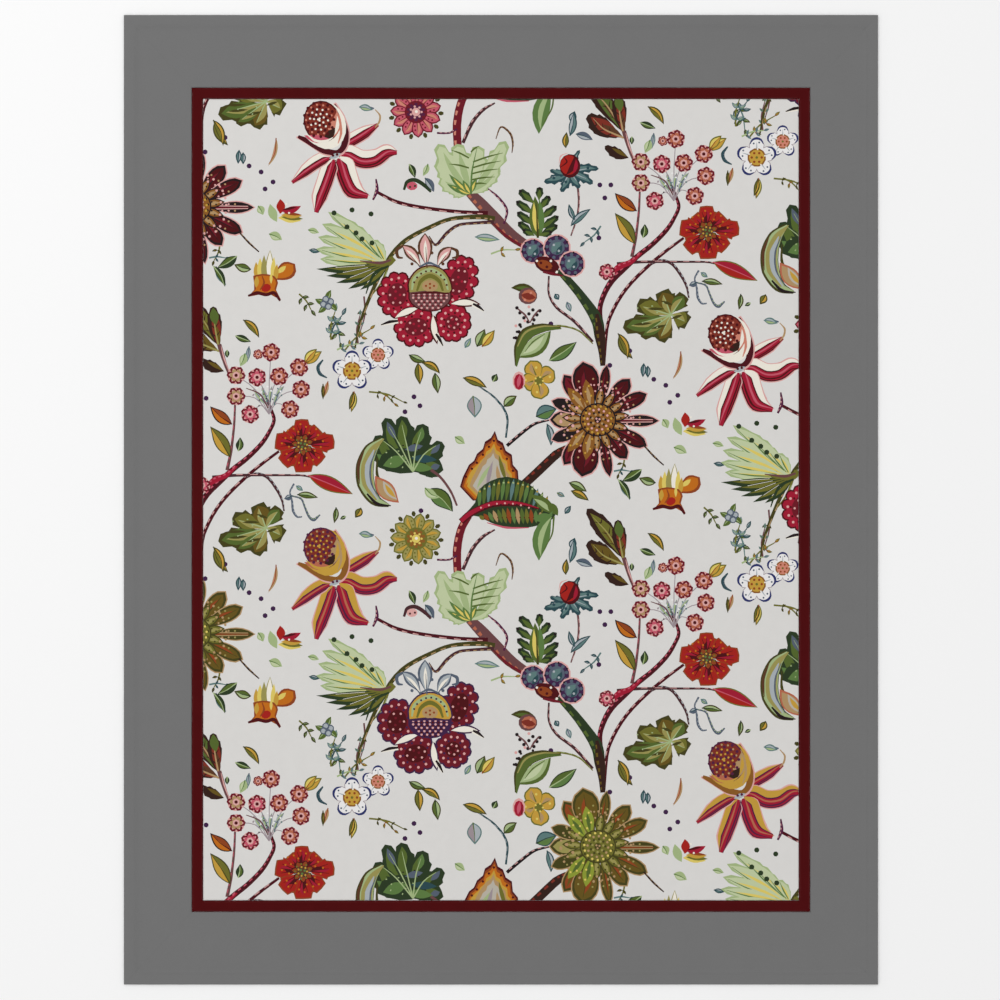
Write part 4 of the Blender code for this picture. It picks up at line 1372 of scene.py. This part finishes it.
def new_piece(name, points, faces, material, node):
    """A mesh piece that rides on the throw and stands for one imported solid."""
    mesh = bpy.data.meshes.new(name)
    mesh.from_pydata(points, [], faces)
    mesh.shade_smooth()
    mesh.set_sharp_from_angle(angle=math.radians(50))
    mesh.materials.append(material)
    piece = link(name, mesh)
    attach(piece, "root")
    if node:
        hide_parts(node)
    return piece


# The panel's flat map: where its top and its back start and how wide they are, and the same upwards
MAP_TOP = (0.004, 0.960)
MAP_BACK = (0.972, 0.020)
MAP_UP = (0.004, 0.990)


def add_print_map(mesh, spots, half_x, half_y, top_corners):
    """A flat map for baking: the top fills nearly all of it, and the edge and back lie in a side strip."""
    layer = mesh.uv_layers.new(name="OFBake")
    corner_points = np.zeros(len(mesh.loops), int)
    mesh.loops.foreach_get("vertex_index", corner_points)
    places = spots[corner_points]
    across = (places.real / half_x + 1) / 2
    up = (places.imag / half_y + 1) / 2
    top = np.arange(len(corner_points)) < top_corners
    level = np.where(top, MAP_TOP[0] + across * MAP_TOP[1], MAP_BACK[0] + across * MAP_BACK[1])
    flat = np.column_stack([level, MAP_UP[0] + up * MAP_UP[1]])
    layer.data.foreach_set("uv", flat.astype(np.float32).ravel())


def add_inks(mesh, inked):
    """Colour the corners of the mesh: its first triangles with their inks, and the rest with the ground."""
    colours = np.array([[*linear_colour(value), 1.0] for value in INKS.values()])
    corner_inks = np.zeros(len(mesh.loops), int)
    corner_inks[:3 * len(inked)] = np.repeat(inked, 3)
    attribute = mesh.color_attributes.new(name="ink", type="FLOAT_COLOR", domain="CORNER")
    attribute.data.foreach_set("color", colours[corner_inks].astype(np.float32).ravel())


def boundary_in_order(spots, half_x, half_y):
    """The points on the panel's edge, anticlockwise from its lower left corner."""
    tolerance = 1e-6
    x, y = spots.real, spots.imag
    on_edge = np.flatnonzero((abs(abs(x) - half_x) < tolerance) | (abs(abs(y) - half_y) < tolerance))
    way_round = np.angle(spots[on_edge] / complex(-half_x, -half_y)) + tolerance
    return on_edge[np.argsort(way_round % math.tau)].tolist()


def make_printed_panel(material):
    """The centre panel: one closed sheet whose top is cut along the print and inked."""
    half_x, half_y = PANEL_SIZE.x / 2, PANEL_SIZE.y / 2
    shapes = print_shapes(half_x, half_y)
    spots, faces, inked = cut_along_print(shapes, half_x, half_y)
    points = [(p.real, p.imag, panel_height(p.real, p.imag, half_x, half_y)) for p in spots]

    rim = boundary_in_order(spots, half_x, half_y)
    count = len(rim)
    foot = len(points)
    points.extend((spots[n].real, spots[n].imag, PANEL_FOOT_HEIGHT) for n in rim)
    sole = len(points)
    shrink = 1 - PANEL_SOLE_INSET / half_x
    points.extend((spots[n].real * shrink, spots[n].imag * shrink, PANEL_SOLE_HEIGHT) for n in rim)
    walls = []
    for number in range(count):
        after = (number + 1) % count
        walls.append((rim[number], foot + number, foot + after, rim[after]))
        walls.append((foot + number, sole + number, sole + after, foot + after))
    back = tuple(sole + number for number in reversed(range(count)))
    piece = new_piece(
        "panel_printed_cotton", points, [*faces.tolist(), *walls, back], material,
        "printed_panel",
    )
    add_inks(piece.data, inked)
    add_print_map(piece.data, np.array([complex(x, y) for x, y, _ in points]), half_x, half_y, 3 * len(faces))
    return piece


# Turn about Z from the bottom side, for each side
SIDE_TURNS = {"bottom": 0.0, "right": math.pi / 2, "top": math.pi, "left": -math.pi / 2}
STRIP_STEP = 0.006
# A point of a strip's top that is higher than this share of the cloth rises and falls with the top
RISING_SHARE = 0.7

# The trim's section: distance in from its outer edge and height, in millimetres. TRIM_TOP runs over
# its top from the outer edge to the inner one, and TRIM_BOTTOM back below.
TRIM_TOP = (
    (0.15, 1.2), (0.4, 2.2), (1.1, 2.85), (2.2, 2.75), (3.0, 2.95), (6, 3.05), (10.5, 3.1),
    (15, 3.05), (18.0, 2.95), (18.8, 2.75), (19.9, 2.85), (20.6, 2.2), (20.85, 1.2),
)
TRIM_BOTTOM = ((20.5, 0.2), (19.8, 0.0), (10.5, 0.0), (1.2, 0.0), (0.5, 0.2))
# The border's top past its round fold, given the same way, and its last stretch, in from the seam
HEM_TOP = (
    (4, 4.25), (8, 4.3), (13, 4.25), (17, 4.1), (19.2, 3.95), (20.2, 3.88), (21.2, 3.85),
    (22.6, 3.7), (24.2, 3.3), (26.0, 2.85), (28.5, 2.55), (32, 2.42),
)
SEAM_TOP = ((4.0, 2.4), (2.4, 2.4), (1.4, 2.3), (0.7, 1.9), (0.2, 1.2))
# Where points of the plain cloth between them lie, as shares of the border's width
FIELD_SHARES = (0.32, 0.42, 0.52, 0.62, 0.72, 0.82, 0.90, 0.95)


def in_metres(rows):
    """A table of millimetres in metres."""
    return [(across * MM, height * MM) for across, height in rows]


def hemmed_section(width):
    """The border's section, top and bottom, in metres from its folded outer edge to its seam."""
    radius = HEM_THICKNESS / 2
    fold = [(radius - radius * math.cos(a), radius + radius * math.sin(a))
            for a in (math.radians(degrees) for degrees in range(-40, 91, 13))]
    hem = in_metres(HEM_TOP)
    field = [(width * share, CLOTH_THICKNESS) for share in FIELD_SHARES]
    seam = [(width - across, height) for across, height in in_metres(SEAM_TOP)]
    bottom = [(width - 0.6 * MM, 0.1 * MM), (width - 2 * MM, 0.0), (HEM_TURN + 0.6 * MM, 0.0),
              (HEM_TURN, 0.5 * MM), (HEM_TURN - 0.6 * MM, 0.0), (radius, 0.0)]
    return fold + hem + field + seam, bottom


class Strip:
    """One mitred strip of the trim or border, laid along one side."""

    def __init__(self, side, reach, half_length, width, next_width, top, bottom):
        self.turn = SIDE_TURNS[side]
        self.reach = reach
        self.half_length = half_length
        self.lean = next_width / width
        self.top = top
        self.bottom = bottom
        self.seed = 10.0 + 3 * SIDES.index(side)

    def place(self, along, inward, height):
        """Where a point of the strip lies: along its length, in from its outer edge, and up."""
        x, y = along, inward - self.reach
        cosine, sine = math.cos(self.turn), math.sin(self.turn)
        return (x * cosine - y * sine, x * sine + y * cosine, height)

    def half_at(self, inward):
        """Half the strip's length at a distance in from its outer edge."""
        return self.half_length - inward * self.lean - MITRE_GAP / 2

    def lift(self, along, inward):
        """How far the top stands off its section at a place."""
        x, y, _ = self.place(along, inward, 0)
        outer, inner = self.top[0][0], self.top[-1][0]
        puckers = pucker(along, inner - inward, self.seed) + pucker(along, inward - outer, self.seed + 1)
        if inner > HEM_TURN:
            puckers += pucker(along, abs(inward - HEM_TURN), self.seed + 2)
        return unevenness(x, y) + puckers

    def height(self, along, inward):
        """Height of the top at a place."""
        inwards, heights = zip(*self.top)
        return float(np.interp(inward, inwards, heights)) + self.lift(along, inward)

    def make(self, name, material, slot, node):
        """The strip as a closed mesh."""
        loop = [*self.top, *self.bottom]
        columns = round(2 * self.half_length / STRIP_STEP)
        points = []
        for column in range(columns + 1):
            share = 2 * column / columns - 1
            for number, (inward, height) in enumerate(loop):
                along = share * self.half_at(inward)
                on_top = number < len(self.top) and height > CLOTH_THICKNESS * RISING_SHARE
                rise = self.lift(along, inward) if on_top else 0.0
                points.append(self.place(along, inward, height + rise))
        size = len(loop)
        faces = [
            (column * size + number, column * size + (number + 1) % size,
             (column + 1) * size + (number + 1) % size, (column + 1) * size + number)
            for column in range(columns) for number in range(size)
        ]
        faces = [face[::-1] for face in faces]
        faces.append(tuple(range(size)))
        faces.append(tuple(columns * size + number for number in reversed(range(size))))
        return new_piece(name, points, faces, material, node)


def trim_strips():
    """The four strips of the trim."""
    top, bottom = in_metres(TRIM_TOP), in_metres(TRIM_BOTTOM)
    half_x = THROW_SIZE.x / 2 - SIDE_BORDER
    half_y = THROW_SIZE.y / 2 - END_BORDER
    strips = {}
    for side in SIDES:
        reach, half_length = (half_y, half_x) if side in ("bottom", "top") else (half_x, half_y)
        strips[side] = Strip(side, reach, half_length, TRIM_WIDTH, TRIM_WIDTH, top, bottom)
    return strips


def border_strips():
    """The four strips of the border."""
    strips = {}
    for side in SIDES:
        level = side in ("bottom", "top")
        reach, half_length = THROW_SIZE.y / 2, THROW_SIZE.x / 2
        width, next_width = END_BORDER, SIDE_BORDER
        if not level:
            reach, half_length, width, next_width = half_length, reach, next_width, width
        top, bottom = hemmed_section(width)
        strips[side] = Strip(side, reach, half_length, width, next_width, top, bottom)
    return strips


# One stitch: its length, the share of it at which the thread is full, the distance to the next stitch,
# the thread's thickness and how far it stands up
STITCH_LENGTH = 0.0027
STITCH_SHOULDER = 0.6
STITCH_PITCH = 0.0036
THREAD = 0.00055
STITCH_RISE = 0.00010
# Where the rows of stitches run, in from the strip's outer edge
TRIM_ROWS = (0.0026, 0.0184)
HEM_ROWS = (0.0206,)


def add_stitch(points, faces, strip, along, inward):
    """One stitch lying along a strip: a thread's end, two rings of four points and its other end."""
    first = len(points)
    half = STITCH_LENGTH / 2
    base = strip.height(along, inward) + STITCH_RISE
    points.append(strip.place(along - half, inward, base - THREAD / 2))
    for shift in (-half * STITCH_SHOULDER, half * STITCH_SHOULDER):
        for side, up in ((-1, 0), (0, 1), (1, 0), (0, -1)):
            points.append(strip.place(along + shift, inward + side * THREAD / 2, base + up * THREAD / 2))
    points.append(strip.place(along + half, inward, base - THREAD / 2))
    for number in range(4):
        after = (number + 1) % 4
        near, far = first + 1 + number, first + 5 + number
        near_after, far_after = first + 1 + after, first + 5 + after
        faces.append((first, near_after, near))
        faces.append((near, near_after, far_after, far))
        faces.append((far, far_after, first + 9))


def make_stitching(name, strip, rows, material):
    """The rows of stitches of one strip as one piece."""
    points, faces = [], []
    for inward in rows:
        half = strip.half_at(inward) - STITCH_PITCH
        count = int(2 * half / STITCH_PITCH)
        for number in range(count):
            add_stitch(points, faces, strip, (number - (count - 1) / 2) * STITCH_PITCH, inward)
    return new_piece(name, points, faces, material, None)


def new_material(name):
    """An empty node material with its output and a Principled shader."""
    material = bpy.data.materials.new(name)
    material.use_nodes = True
    material.node_tree.nodes.clear()
    shader = add_node(material, "ShaderNodeBsdfPrincipled")
    add_node(material, "ShaderNodeOutputMaterial", {"Surface": shader.outputs["BSDF"]})
    return material, shader


def add_node(material, kind, inputs=None, **settings):
    """Add a node with its settings. inputs gives each socket a value or the output it is linked from."""
    node = material.node_tree.nodes.new(kind)
    for name, value in settings.items():
        setattr(node, name, value)
    connect(material, node, inputs or {})
    return node


def connect(material, node, inputs):
    """Set or link a node's inputs."""
    for name, value in inputs.items():
        if isinstance(value, bpy.types.NodeSocket):
            material.node_tree.links.new(value, node.inputs[name])
        else:
            node.inputs[name].default_value = value


def object_place(material):
    """Where a point lies on the throw, in metres."""
    return add_node(material, "ShaderNodeTexCoord").outputs["Object"]


# About how far apart the bands of a wave texture lie at scale 1, in metres
BANDS_AT_SCALE_ONE = 1 / 3.1416
# How far threads and ribs stray from straight lines
THREAD_WOBBLE = {"Distortion": 0.6, "Detail": 1.0, "Detail Scale": 0.4}
RIB_WOBBLE = {"Distortion": 0.5, "Detail": 1.0}
NO_WOBBLE = {"Distortion": 0.0}


def thread_bands(material, place, pitch, way, wobble):
    """Bands like threads side by side, low in the hollows and high on top of each; a colour tinted with them
    gets painted shade in the hollows and painted highlight on the tops. Slanted ones lie 1.4 times the pitch
    apart.
    """
    bands = add_node(
        material, "ShaderNodeTexWave", {"Vector": place, "Scale": BANDS_AT_SCALE_ONE / pitch, **wobble},
        wave_type="BANDS", bands_direction=way, wave_profile="SIN",
    )
    return bands.outputs["Fac"]


def noise_value(material, place, size, detail=3.0, roughness=0.55):
    """Soft noise from 0 to 1 whose blotches are about size metres across."""
    texture = add_node(
        material, "ShaderNodeTexNoise",
        {"Vector": place, "Scale": 1 / size, "Detail": detail, "Roughness": roughness},
    )
    return texture.outputs["Fac"]


def shade_range(material, value, low, high):
    """Spread a value from 0 to 1 over a range of shades."""
    ranged = add_node(material, "ShaderNodeMapRange", {"Value": value, "To Min": low, "To Max": high})
    return ranged.outputs["Result"]


def reckoned(material, operation, first, second):
    """Two values added or multiplied."""
    return add_node(material, "ShaderNodeMath", {0: first, 1: second}, operation=operation).outputs[0]


def tinted(material, colour, shade):
    """A colour multiplied by a shade."""
    mix = add_node(material, "ShaderNodeVectorMath", {0: colour, 1: shade}, operation="MULTIPLY")
    return mix.outputs["Vector"]


def cloth_bump(material, height, fuzz, depth, distance):
    """The normal of a woven surface with loose fibres on it."""
    total = reckoned(material, "ADD", height, fuzz)
    bump = add_node(material, "ShaderNodeBump", {"Strength": depth, "Distance": distance, "Height": total})
    return bump.outputs["Normal"]


# Sizes of what the surfaces are made of, in metres
COTTON_FIBRES = 0.0012
TAPE_FIBRES = 0.0010
TAPE_WEAR = 0.030
FLEECE_NAP = 0.0018
# Size of the clouds of painted sheen and shade in the fleece
FLEECE_PAINTED_SHEEN_CLOUDS = 0.060
THREAD_PLIES = 0.0008
PAPER_TOOTH = 0.002


def printed_cotton(settings):
    """Plain-weave cotton, bleached and then printed with pigment inks. The ground is a cool off-white.

    The eye gets flat matt inks with crisp outlines, very slightly broken by the threads, whose hollows carry
    painted shade and whose tops painted highlight, and soft blotches where the ink took unevenly. Bare cotton
    reflects at an IOR of about 1.5 and is rough.
    """
    material, shader = new_material("Printed plain-weave cotton")
    ink = add_node(material, "ShaderNodeVertexColor", layer_name="ink").outputs["Color"]
    place = object_place(material)
    # The real threads are 0.5 mm apart, too fine to show from here, so they are drawn coarser
    warp, weft = (
        thread_bands(material, place, settings.weave_pitch, way, THREAD_WOBBLE) for way in ("X", "Y")
    )
    threads = reckoned(material, "MULTIPLY", warp, weft)
    mottle = noise_value(material, place, settings.mottle_size)
    fuzz = noise_value(material, place, COTTON_FIBRES, detail=2.0)
    # The weave's hollows get painted shade and its thread tops painted highlight
    weave_painted_shade = shade_range(material, threads, 1 - settings.painted_weave_shade_depth, 1.0)
    mottle_shade = shade_range(material, mottle, 1 - settings.mottle_contrast, 1 + settings.mottle_contrast)
    connect(material, shader, {
        "Base Color": tinted(material, ink, reckoned(material, "MULTIPLY", weave_painted_shade, mottle_shade)),
        "Roughness": 0.85, "IOR": 1.5, "Specular IOR Level": 0.1,
        "Sheen Weight": 0.01, "Sheen Roughness": 0.5,
        "Normal": cloth_bump(material, threads, fuzz, depth=0.35, distance=0.00025),
    })
    return material


def dyed_cotton_tape(colour, rib_pitch):
    """Firm cotton twill tape, piece-dyed dark red and sewn flat.

    The eye gets a deep even red with fine slanting ribs, with painted shade in their hollows and painted
    highlight on their tops, and a slightly paler, worn crown.
    """
    material, shader = new_material("Dyed cotton twill tape")
    place = object_place(material)
    # Twill ribs are 0.7 mm apart, too fine to show from here, so they are drawn coarser
    ribs = thread_bands(material, place, rib_pitch, "DIAGONAL", RIB_WOBBLE)
    fuzz = noise_value(material, place, TAPE_FIBRES, detail=2.0)
    worn = noise_value(material, place, TAPE_WEAR)
    # The rib range paints shade into the rib hollows and highlight onto their tops; the worn range is paler
    # wear
    shade = reckoned(
        material, "MULTIPLY",
        shade_range(material, ribs, 0.86, 1.06), shade_range(material, worn, 0.88, 1.14),
    )
    connect(material, shader, {
        "Base Color": tinted(material, colour, shade), "Roughness": 0.82, "IOR": 1.5,
        "Specular IOR Level": 0.06, "Sheen Weight": 0.0,
        "Normal": cloth_bump(material, ribs, fuzz, depth=0.4, distance=0.00025),
    })
    return material


def brushed_fleece(colour):
    """Polyester fleece, knitted and brushed to a short even nap, dyed mid grey.

    The eye gets a quiet matt grey with faint clouding of painted sheen and shade where the nap leans, and no
    thread to be seen.
    """
    material, shader = new_material("Brushed grey fleece")
    place = object_place(material)
    nap = noise_value(material, place, FLEECE_NAP, roughness=0.7)
    lean = noise_value(material, place, FLEECE_PAINTED_SHEEN_CLOUDS, detail=4.0)
    # The lean noise paints faint clouds of sheen and shade where the nap leans
    shade = reckoned(
        material, "MULTIPLY",
        shade_range(material, nap, 0.92, 1.08), shade_range(material, lean, 0.975, 1.025),
    )
    connect(material, shader, {
        "Base Color": tinted(material, colour, shade), "Roughness": 0.95, "IOR": 1.5,
        "Specular IOR Level": 0.1, "Sheen Weight": 0.02,
        "Normal": cloth_bump(material, nap, lean, depth=0.45, distance=0.0004),
    })
    return material


def sewing_thread(name, hex_colour):
    """Spun polyester sewing thread, two plies twisted together.

    The eye gets a slightly brighter line than the cloth, with a faint silky gloss, and bands of painted shade
    and highlight along its twisted plies.
    """
    material, shader = new_material(name)
    plies = thread_bands(material, object_place(material), THREAD_PLIES, "DIAGONAL", NO_WOBBLE)
    connect(material, shader, {
        # The ply bands paint shade between the plies and highlight on their tops
        "Base Color": tinted(material, linear_colour(hex_colour), shade_range(material, plies, 0.8, 1.1)),
        "Roughness": 0.55, "IOR": 1.5,
    })
    return material


def studio_paper(colour):
    """Seamless background paper. The eye gets an even pale matt floor with a barely visible tooth."""
    material, shader = new_material("Pale studio paper")
    tooth = noise_value(material, object_place(material), PAPER_TOOTH)
    connect(material, shader, {
        "Base Color": tinted(material, colour, shade_range(material, tooth, 0.995, 1.005)),
        "Roughness": 0.95, "Specular IOR Level": 0.1,
    })
    return material


class ThrowStageSettings(bpy.types.PropertyGroup):
    """How the throw is stood, lit and looked at."""

    floor_size: FloatProperty(
        name="Floor size", description="Side of the square floor", default=9.0, unit="LENGTH")
    floor_colour: FloatVectorProperty(
        name="Floor colour", description="Colour of the paper floor", default=linear_colour("#F6F6F6"),
        subtype="COLOR")
    room_light: FloatProperty(
        name="Room light", description="Strength of the even light from all round", default=0.86)
    softbox_power: FloatProperty(
        name="Softbox power", description="Power of the large lamp at the upper left", default=52.0,
        unit="POWER")
    softbox_size: FloatProperty(
        name="Softbox size", description="Side of the large lamp", default=3.5, unit="LENGTH")
    lens: FloatProperty(
        name="Lens", description="Focal length of the camera in millimetres", default=85.0)
    view_width: FloatProperty(
        name="View width", description="Width that the photo takes in at the top of the throw",
        default=1.8565, unit="LENGTH")


class ThrowPrintSettings(bpy.types.PropertyGroup):
    """The printed cotton."""

    weave_pitch: FloatProperty(
        name="Weave pitch", description="Distance between threads as drawn", default=0.0016, unit="LENGTH")
    # Depth of the painted shade in the weave's hollows
    painted_weave_shade_depth: FloatProperty(
        name="Weave contrast", description="How much darker the hollows between threads are", default=0.10,
        subtype="FACTOR")
    mottle_size: FloatProperty(
        name="Mottle size", description="Size of the blotches in the ink", default=0.020, unit="LENGTH")
    mottle_contrast: FloatProperty(
        name="Mottle contrast", description="How far blotches differ in shade", default=0.03,
        subtype="FACTOR")


class ThrowSewingSettings(bpy.types.PropertyGroup):
    """The trim, the border and their threads."""

    trim_colour: FloatVectorProperty(
        name="Trim colour", description="Dye of the trim", default=linear_colour("#4B0A0D"), subtype="COLOR")
    border_colour: FloatVectorProperty(
        name="Border colour", description="Dye of the border", default=linear_colour("#717171"),
        subtype="COLOR")
    rib_pitch: FloatProperty(
        name="Rib pitch", description="Pitch of the bands that draw the tape's ribs", default=0.0018,
        unit="LENGTH")


# Width of the camera's sensor in millimetres
SENSOR_WIDTH = 36.0
# How far the middle of the photo lies off the middle of the throw
CAMERA_OFFSET = (-0.0017, -0.0005)
FARTHEST_SEEN = 50.0
SOFTBOX_PLACE = Vector((-2.6, 2.2, 3.8))


class THROW_OT_stage(bpy.types.Operator):
    """Build the paper floor, the lights and the camera straight above the throw."""

    bl_idname = "throw.stage"
    bl_label = "Stage"

    def execute(self, context):
        settings = context.scene.throw_stage
        half = settings.floor_size / 2
        mesh = bpy.data.meshes.new("studio_floor")
        corners = [(-half, -half, 0), (half, -half, 0), (half, half, 0), (-half, half, 0)]
        mesh.from_pydata(corners, [], [(0, 1, 2, 3)])
        mesh.materials.append(studio_paper(tuple(settings.floor_colour)))
        floor = link("studio_floor", mesh)

        world = bpy.data.worlds.new("Soft room")
        world.use_nodes = True
        background = world.node_tree.nodes["Background"]
        background.inputs["Strength"].default_value = settings.room_light
        background.inputs["Color"].default_value = (1, 1, 1, 1)
        context.scene.world = world

        softbox = bpy.data.lights.new("Softbox", "AREA")
        softbox.energy = settings.softbox_power
        softbox.size = settings.softbox_size
        lamp = link("Softbox", softbox)
        lamp.location = SOFTBOX_PLACE
        lamp.rotation_euler = (-SOFTBOX_PLACE).to_track_quat("-Z", "Y").to_euler()

        view = bpy.data.cameras.new("Camera")
        view.lens = settings.lens
        view.sensor_width = SENSOR_WIDTH
        view.clip_end = FARTHEST_SEEN
        camera = link("Camera", view)
        height = settings.view_width * settings.lens / SENSOR_WIDTH
        camera.location = (*CAMERA_OFFSET, CLOTH_THICKNESS + height)
        context.scene.camera = camera
        context.scene.view_settings.view_transform = "Standard"
        return {"FINISHED"}


class THROW_OT_printed_panel(bpy.types.Operator):
    """Make the printed centre panel."""

    bl_idname = "throw.printed_panel"
    bl_label = "Printed panel"

    def execute(self, context):
        make_printed_panel(printed_cotton(context.scene.throw_print))
        return {"FINISHED"}


class THROW_OT_trim(bpy.types.Operator):
    """Make the four trim strips and their stitches."""

    bl_idname = "throw.trim"
    bl_label = "Trim"

    def execute(self, context):
        settings = context.scene.throw_sewing
        cloth = dyed_cotton_tape(tuple(settings.trim_colour), settings.rib_pitch)
        thread = sewing_thread("Dark red sewing thread", "#5A1418")
        for side, strip in trim_strips().items():
            piece = strip.make(f"tape_{side}", cloth, "trim_cloth", f"trim_{side}")
            stitches = make_stitching(f"tape_stitches_{side}", strip, TRIM_ROWS, thread)
        return {"FINISHED"}


class THROW_OT_border(bpy.types.Operator):
    """Make the four border strips with their hem stitches."""

    bl_idname = "throw.border"
    bl_label = "Border"

    def execute(self, context):
        cloth = brushed_fleece(tuple(context.scene.throw_sewing.border_colour))
        thread = sewing_thread("Grey sewing thread", "#767676")
        for side, strip in border_strips().items():
            piece = strip.make(f"fleece_{side}", cloth, "border_cloth", f"border_{side}")
            stitches = make_stitching(f"hem_stitches_{side}", strip, HEM_ROWS, thread)
        return {"FINISHED"}


OPERATORS = (THROW_OT_stage, THROW_OT_printed_panel, THROW_OT_trim, THROW_OT_border)


class THROW_PT_sidebar(bpy.types.Panel):
    """The throw's tools, in the order they are used."""

    bl_idname = "THROW_PT_sidebar"
    bl_label = "Throw"
    bl_space_type = "VIEW_3D"
    bl_region_type = "UI"
    bl_category = "Throw"

    def draw(self, context):
        for operator in OPERATORS:
            self.layout.operator(operator.bl_idname)


SETTINGS = {
    "throw_stage": ThrowStageSettings, "throw_print": ThrowPrintSettings, "throw_sewing": ThrowSewingSettings,
}


def register():
    """Add the settings, the tools and the panel to Blender."""
    for settings in SETTINGS.values():
        bpy.utils.register_class(settings)
    for name, settings in SETTINGS.items():
        setattr(bpy.types.Scene, name, PointerProperty(type=settings))
    for operator in OPERATORS:
        bpy.utils.register_class(operator)
    bpy.utils.register_class(THROW_PT_sidebar)


def unregister():
    """Take the settings, the tools and the panel out of Blender again."""
    bpy.utils.unregister_class(THROW_PT_sidebar)
    for operator in reversed(OPERATORS):
        bpy.utils.unregister_class(operator)
    for name, settings in SETTINGS.items():
        delattr(bpy.types.Scene, name)
        bpy.utils.unregister_class(settings)


def main():
    """Make the throw and its stage."""
    register()
    bpy.ops.throw.stage()
    bpy.ops.throw.printed_panel()
    bpy.ops.throw.trim()
    bpy.ops.throw.border()


if __name__ == "__main__":
    main()
